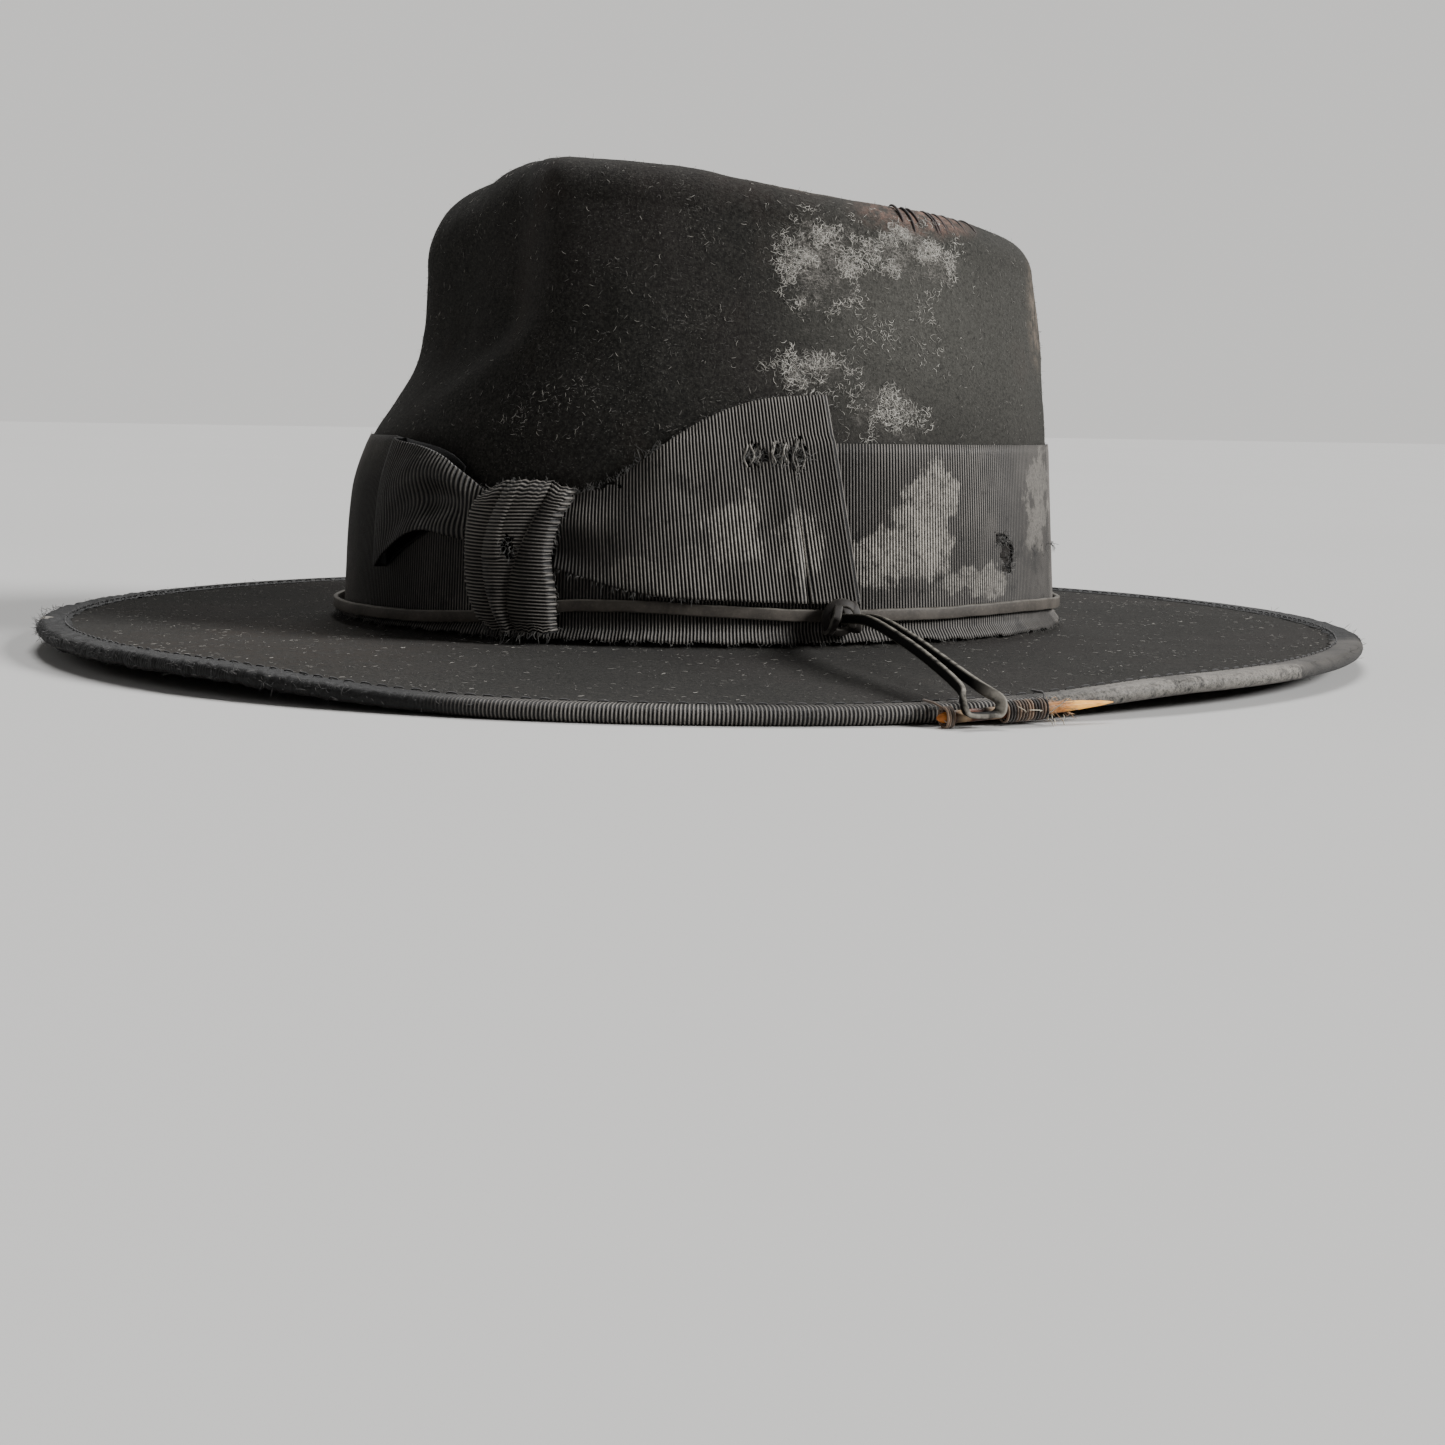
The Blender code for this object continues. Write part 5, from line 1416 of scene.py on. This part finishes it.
def make_quill():
    """A fluted quill, blunt at its front end and drawn out to a point, with a tuft of barbs."""
    middle, along, out, up = quill_frame()
    start = float(np.dot(middle - along * QUILL_LENGTH / 2, along))
    outline = ((0.0, 0.35), (0.012, 0.62), (0.03, 0.82), (0.08, 1.0), (0.35, 1.0), (0.6, 1.0), (0.8, 0.72),
               (0.93, 0.4), (1.0, 0.1))
    s = np.linspace(0.0, 1.0, 121)
    size = straight(outline, s) * QUILL_RADIUS
    turn = circle(24)
    centre = middle + along * (QUILL_LENGTH * (s - 0.5))[:, None]
    ring = up * np.cos(turn)[:, None] + out * np.sin(turn)[:, None]
    rough = noise_on(centre[:, None] + ring * 1.5, 1.6, 4, 13.0)
    fluted = 0.05 * np.cos(5 * turn) * smooth_step(0.5, 0.9, s)[:, None]
    rings = centre[:, None] + ring * (size[:, None] * (1.0 + 0.05 * rough + fluted - 0.06))[..., None]
    belongs(tube_piece("banded_quill", rings, quill_look(along, start, start + QUILL_LENGTH)),
            "quill", "quill", "quill")

    share = rng.uniform(0.58, 0.74, QUILL_BARBS)[:, None]
    angle = rng.uniform(0, 2 * np.pi, QUILL_BARBS)[:, None]
    outward = up * np.cos(angle) + out * np.sin(angle)
    place = middle + along * (QUILL_LENGTH * (share - 0.5)) + outward * (QUILL_RADIUS * 0.9)
    look = thread_look("quill_fibre", (0.16, 0.07, 0.03), (0.45, 0.28, 0.13), 0.5)
    length = rng.uniform(0.8, 2.4, QUILL_BARBS)
    barbs = frayed_threads("quill_barbs", place, along + outward * 0.45, length, 0.06, look, 0.3)
    belongs(barbs, "quill", "quill")


def make_lashing():
    """Thread coils each side of the loop, with their ends sewn down on the binding."""
    middle, along, out, up = quill_frame()
    radius = QUILL_RADIUS + GAP + THREAD + 0.08

    def coil(first, last, first_turn, last_turn):
        share = np.linspace(0.0, 1.0, int(round((last_turn - first_turn) * 16)) + 1)[:, None]
        angle = 2 * np.pi * (first_turn + (last_turn - first_turn) * share)
        return list(middle + along * (first + (last - first) * share)
                    + radius * (up * np.cos(angle) - out * np.sin(angle)))

    def sewn(place):
        over_brim = middle + along * place + up * (FELT / 2 + GAP + BINDING + GAP + THREAD + 0.3)
        return [over_brim - out * (QUILL_OUT + inward) for inward in (-0.8, 1.5, 4.5)]

    front_end, rear_end = sewn(FRONT_COILS[0] - 1.0), sewn(REAR_COILS[1] + 1.0)
    path = spline(front_end[::-1] + coil(*FRONT_COILS) + coil(*REAR_COILS) + rear_end, 2)
    swell = 1.0 + 0.12 * np.sin(np.arange(len(path)) * 0.9)
    angles = circle(8)
    section = np.stack([np.cos(angles), np.sin(angles)], -1) * THREAD * 0.95
    rings = sweep(path, section, (1.0, 0.0, 0.3), swell)
    along_thread = np.arange(len(rings) + 6)
    tone = 0.32 + 0.4 * np.sin(along_thread * 0.05) + 0.3 * np.sin(along_thread * 0.021)
    look = thread_look("lashing_thread", (0.012, 0.008, 0.006), (0.20, 0.13, 0.085))
    lash = tube_piece("quill_thread_lashing", rings, look, np.repeat(np.clip(tone, 0.0, 1.0), 8))
    belongs(lash, "hat", "thread", "quill_lashing")

    # Loose ends: place along the quill, heading and length
    loose = ((4.8, (-0.35, -0.2, -1.0), 4.6), (5.6, (0.1, -0.3, -1.0), 3.0), (8.5, (0.3, -0.3, -1.0), 2.2),
             (-19.5, (-0.4, -0.3, -1.0), 2.0), (-1.0, (0.0, -0.7, 0.4), 3.4), (2.0, (0.5, -0.5, 0.6), 4.5),
             (3.5, (0.8, -0.3, 0.3), 6.0))
    along_quill, heading, length = [np.array(column) for column in zip(*loose)]
    ends = middle + along * along_quill[:, None] - out * 0.3 - up * 1.4
    ends[:, 2] = middle[2] - 1.0
    pale = thread_look("loose_thread", (0.20, 0.17, 0.12), (0.55, 0.50, 0.40))
    hanging = frayed_threads("lashing_loose_ends", ends + out * 1.6, unit(heading), length, 0.11, pale, 0.0)
    belongs(hanging, "hat", "thread")


# ---------------------------------------------------------------- inside the crown

def closed_tube(name, path, radius, sides, look):
    tangents = unit(np.roll(path, -1, axis=0) - np.roll(path, 1, axis=0))
    side = unit(UP - tangents * np.sum(tangents * UP, axis=1, keepdims=True))
    across = np.cross(tangents, side)
    turn = circle(sides)[:, None]
    size = np.broadcast_to(radius, len(path))[:, None, None]
    rings = path[:, None] + (side[:, None] * np.cos(turn) + across[:, None] * np.sin(turn)) * size
    return closed_ring(name, rings, look)


def make_reed():
    """Twisted cord at the brim break, and the stitches that hold the leather to it."""
    twist = circle(720) * REED_TWISTS
    radius = REED_RADIUS * (1.0 - 0.05 + 0.05 * np.sin(twist))
    cord = thread_look("black_cord", (0.02, 0.019, 0.018), (0.05, 0.047, 0.045))
    reed = closed_tube("reed_cord", wall(full_turn(720), REED_HEIGHT, -REED_DEPTH), radius, 12, cord)
    belongs(reed, "hat", "cord", "sweatband_reed")

    t = np.linspace(0.0, 1.0, 7)
    bearing = full_turn(REED_STITCHES)[:, None] + 360.0 / REED_STITCHES * 0.9 * t
    height = REED_HEIGHT + REED_RADIUS + GAP + 0.2 + 0.3 * np.sin(math.pi * t)
    path = wall(bearing, height, -REED_DEPTH + 0.5 - 1.0 * t)
    black = thread_look("inner_thread", (0.01, 0.01, 0.01), (0.04, 0.038, 0.035))
    belongs(threads("reed_sewing", path, 0.2, black, sides=6), "hat", "thread", "sweatband_stitching")


def make_sweatband():
    """Leather band with a pinked, tooled top edge, and the small bow over its seam."""
    z = np.linspace(SWEATBAND_LOW, SWEATBAND_TOP, 44)[:, None]
    b = full_turn(600)
    share = (z - SWEATBAND_LOW) / (SWEATBAND_TOP - SWEATBAND_LOW)
    ripple = 0.30 * noise_on(wall(b, z), 24.0, 3, 17.0) * smooth_step(0.1, 0.9, share)
    pinking = 0.12 * np.cos(np.radians(b) * SWEATBAND_PINKS) - 0.5
    height = z + pinking * smooth_step(0.94, 1.0, share)
    rim = 0.18 * smooth_step(0.93, 0.96, share) - 0.10 * between(0.955, 0.965, 0.97, 0.98, share)
    outer = wall(b, height, -SWEATBAND_DEPTH - 0.15 - np.abs(ripple) * 0.3)
    inner = wall(b, height, -SWEATBAND_DEPTH - SWEATBAND + 0.1 - ripple * 0.3 - rim)
    belongs(sheet("roan_sweatband", outer, inner, leather_look(), wraps=True),
            "sweatband", "sweatband_leather", "sweatband")

    depth = SWEATBAND_DEPTH + SWEATBAND + GAP + 0.5
    spread = np.linspace(-1.0, 1.0, 121)
    across = np.linspace(-1.0, 1.0, 25)[:, None]
    half_tall = curve_through(((0.0, 2.0), (0.35, 3.6), (1.0, 5.0)), np.abs(spread))
    height = SEAM_BOW_HEIGHT + across * half_tall
    pinched = 0.35 * hump(0.0, 0.12, spread) * (1 - across ** 2)
    crest = ribs(spread * 12.0 / RIB_PITCH)
    front = wall(spread * SEAM_BOW_HALF_TURN, height, -depth - RIBBON_HALF - pinched - 0.12 * crest)
    back = wall(spread * SEAM_BOW_HALF_TURN, height, -depth + RIBBON_HALF)
    bow = sheet("sweatband_seam_bow", back, front, ribbon_look("inner_grosgrain"), crest=crest)
    belongs(bow, "sweatband", "ribbon", "sweatband_bow")


def make_lining(grid, normals, low_row, seam_row):
    """Satin side panel and tip, a little inside the felt, with a piped cord in the seam between them."""
    satin = satin_look()
    gathers = 0.06 * np.abs(np.sin(np.radians(full_turn(FELT_COLUMNS)) * 60))[:, None]
    side, outward = grid[low_row:seam_row + 1], normals[low_row:seam_row + 1]
    panel = sheet("lining_side_panel", side - outward * (LINING_DEPTH + 0.05 + gathers),
                  side - outward * (LINING_DEPTH + LINING + gathers), satin, wraps=True)
    belongs(panel, "hat", "satin", "lining_side")
    tip, outward = grid[seam_row + 8:], normals[seam_row + 8:]
    top = sheet("lining_tip_panel", tip - outward * (LINING_DEPTH + 0.05),
                tip - outward * (LINING_DEPTH + LINING), satin, wraps=True, closed_end=True)
    weld(top)
    belongs(top, "hat", "satin", "lining_tip")
    path = grid[seam_row] - normals[seam_row] * (LINING_DEPTH + LINING + GAP + PIPING_RADIUS)
    piping = closed_tube("lining_piped_cord", path, PIPING_RADIUS, 10, satin)
    belongs(piping, "hat", "satin", "lining_piping")


# ---------------------------------------------------------------- floor, light and camera

def make_stage():
    """Pale floor, and a world that lights the hat dimly but looks pale to the camera."""
    side = 12.0
    corners = [(-side, -side, 0), (side, -side, 0), (side, side, 0), (-side, side, 0)]
    mesh = bpy.data.meshes.new("studio_floor")
    mesh.from_pydata(corners, [], [(0, 1, 2, 3)])
    look = Look("pale_floor")
    colour = look.mix(look.noise(400, 3.0), (0.49, 0.485, 0.475), (0.52, 0.515, 0.505))
    mesh.materials.append(look.finish(colour, 0.7, specular=0.2))
    linked("studio_floor", mesh)

    world = bpy.data.worlds.new("studio_world")
    world.use_nodes = True
    tree = world.node_tree
    glow = tree.nodes["Background"]
    glow.inputs["Color"].default_value = (1.0, 0.97, 0.92, 1.0)
    glow.inputs["Strength"].default_value = AMBIENT
    seen = tree.nodes.new("ShaderNodeBackground")
    seen.inputs["Color"].default_value = BACKDROP
    rays = tree.nodes.new("ShaderNodeLightPath")
    either = tree.nodes.new("ShaderNodeMixShader")
    for source, socket in ((rays.outputs["Is Camera Ray"], either.inputs[0]),
                           (glow.outputs[0], either.inputs[1]), (seen.outputs[0], either.inputs[2]),
                           (either.outputs[0], tree.nodes["World Output"].inputs["Surface"])):
        tree.links.new(source, socket)
    bpy.context.scene.world = world


def make_lights():
    """Broad lights like large softboxes far away: name, where from, strength and spread in degrees."""
    for name, place, strength, spread in LIGHTS:
        data = bpy.data.lights.new(name, "SUN")
        data.energy = strength
        data.angle = math.radians(spread)
        light = linked(name, data)
        light.location = place
        light.rotation_euler = Vector(place).to_track_quat("Z", "Y").to_euler()


def make_camera():
    """Camera in the hat's frame: level and 0.62 m away, with the small roll the hat sits at."""
    data = bpy.data.cameras.new("camera")
    data.lens, data.sensor_width = CAMERA_LENS, CAMERA_SENSOR
    data.clip_start, data.clip_end = 0.05, 50.0
    camera = linked("camera", data)
    pivot = Matrix.Translation(ROLL_PIVOT)
    roll = pivot @ Matrix.Rotation(CAMERA_ROLL, 4, "Y") @ pivot.inverted()
    pitch = Matrix.Rotation(math.pi / 2 - CAMERA_DOWN, 4, "X")
    camera.matrix_world = roll @ Matrix.Translation(CAMERA_PLACE) @ pitch
    bpy.context.scene.camera = camera


# ---------------------------------------------------------------- build

felt = make_felt()
make_binding()
make_binding_stitches()
make_binding_fuzz()
make_mend()
band = make_hatband()
rear_wing = make_rear_wing()
make_loose_cords()
make_front_wing()
knot = make_knot()
make_frays(*rear_wing, *knot, *band)
make_lace_band()
make_lace_knot()
make_lace_loop()
make_quill()
make_lashing()
make_reed()
make_sweatband()
make_lining(*felt)
make_stage()
make_lights()
make_camera()
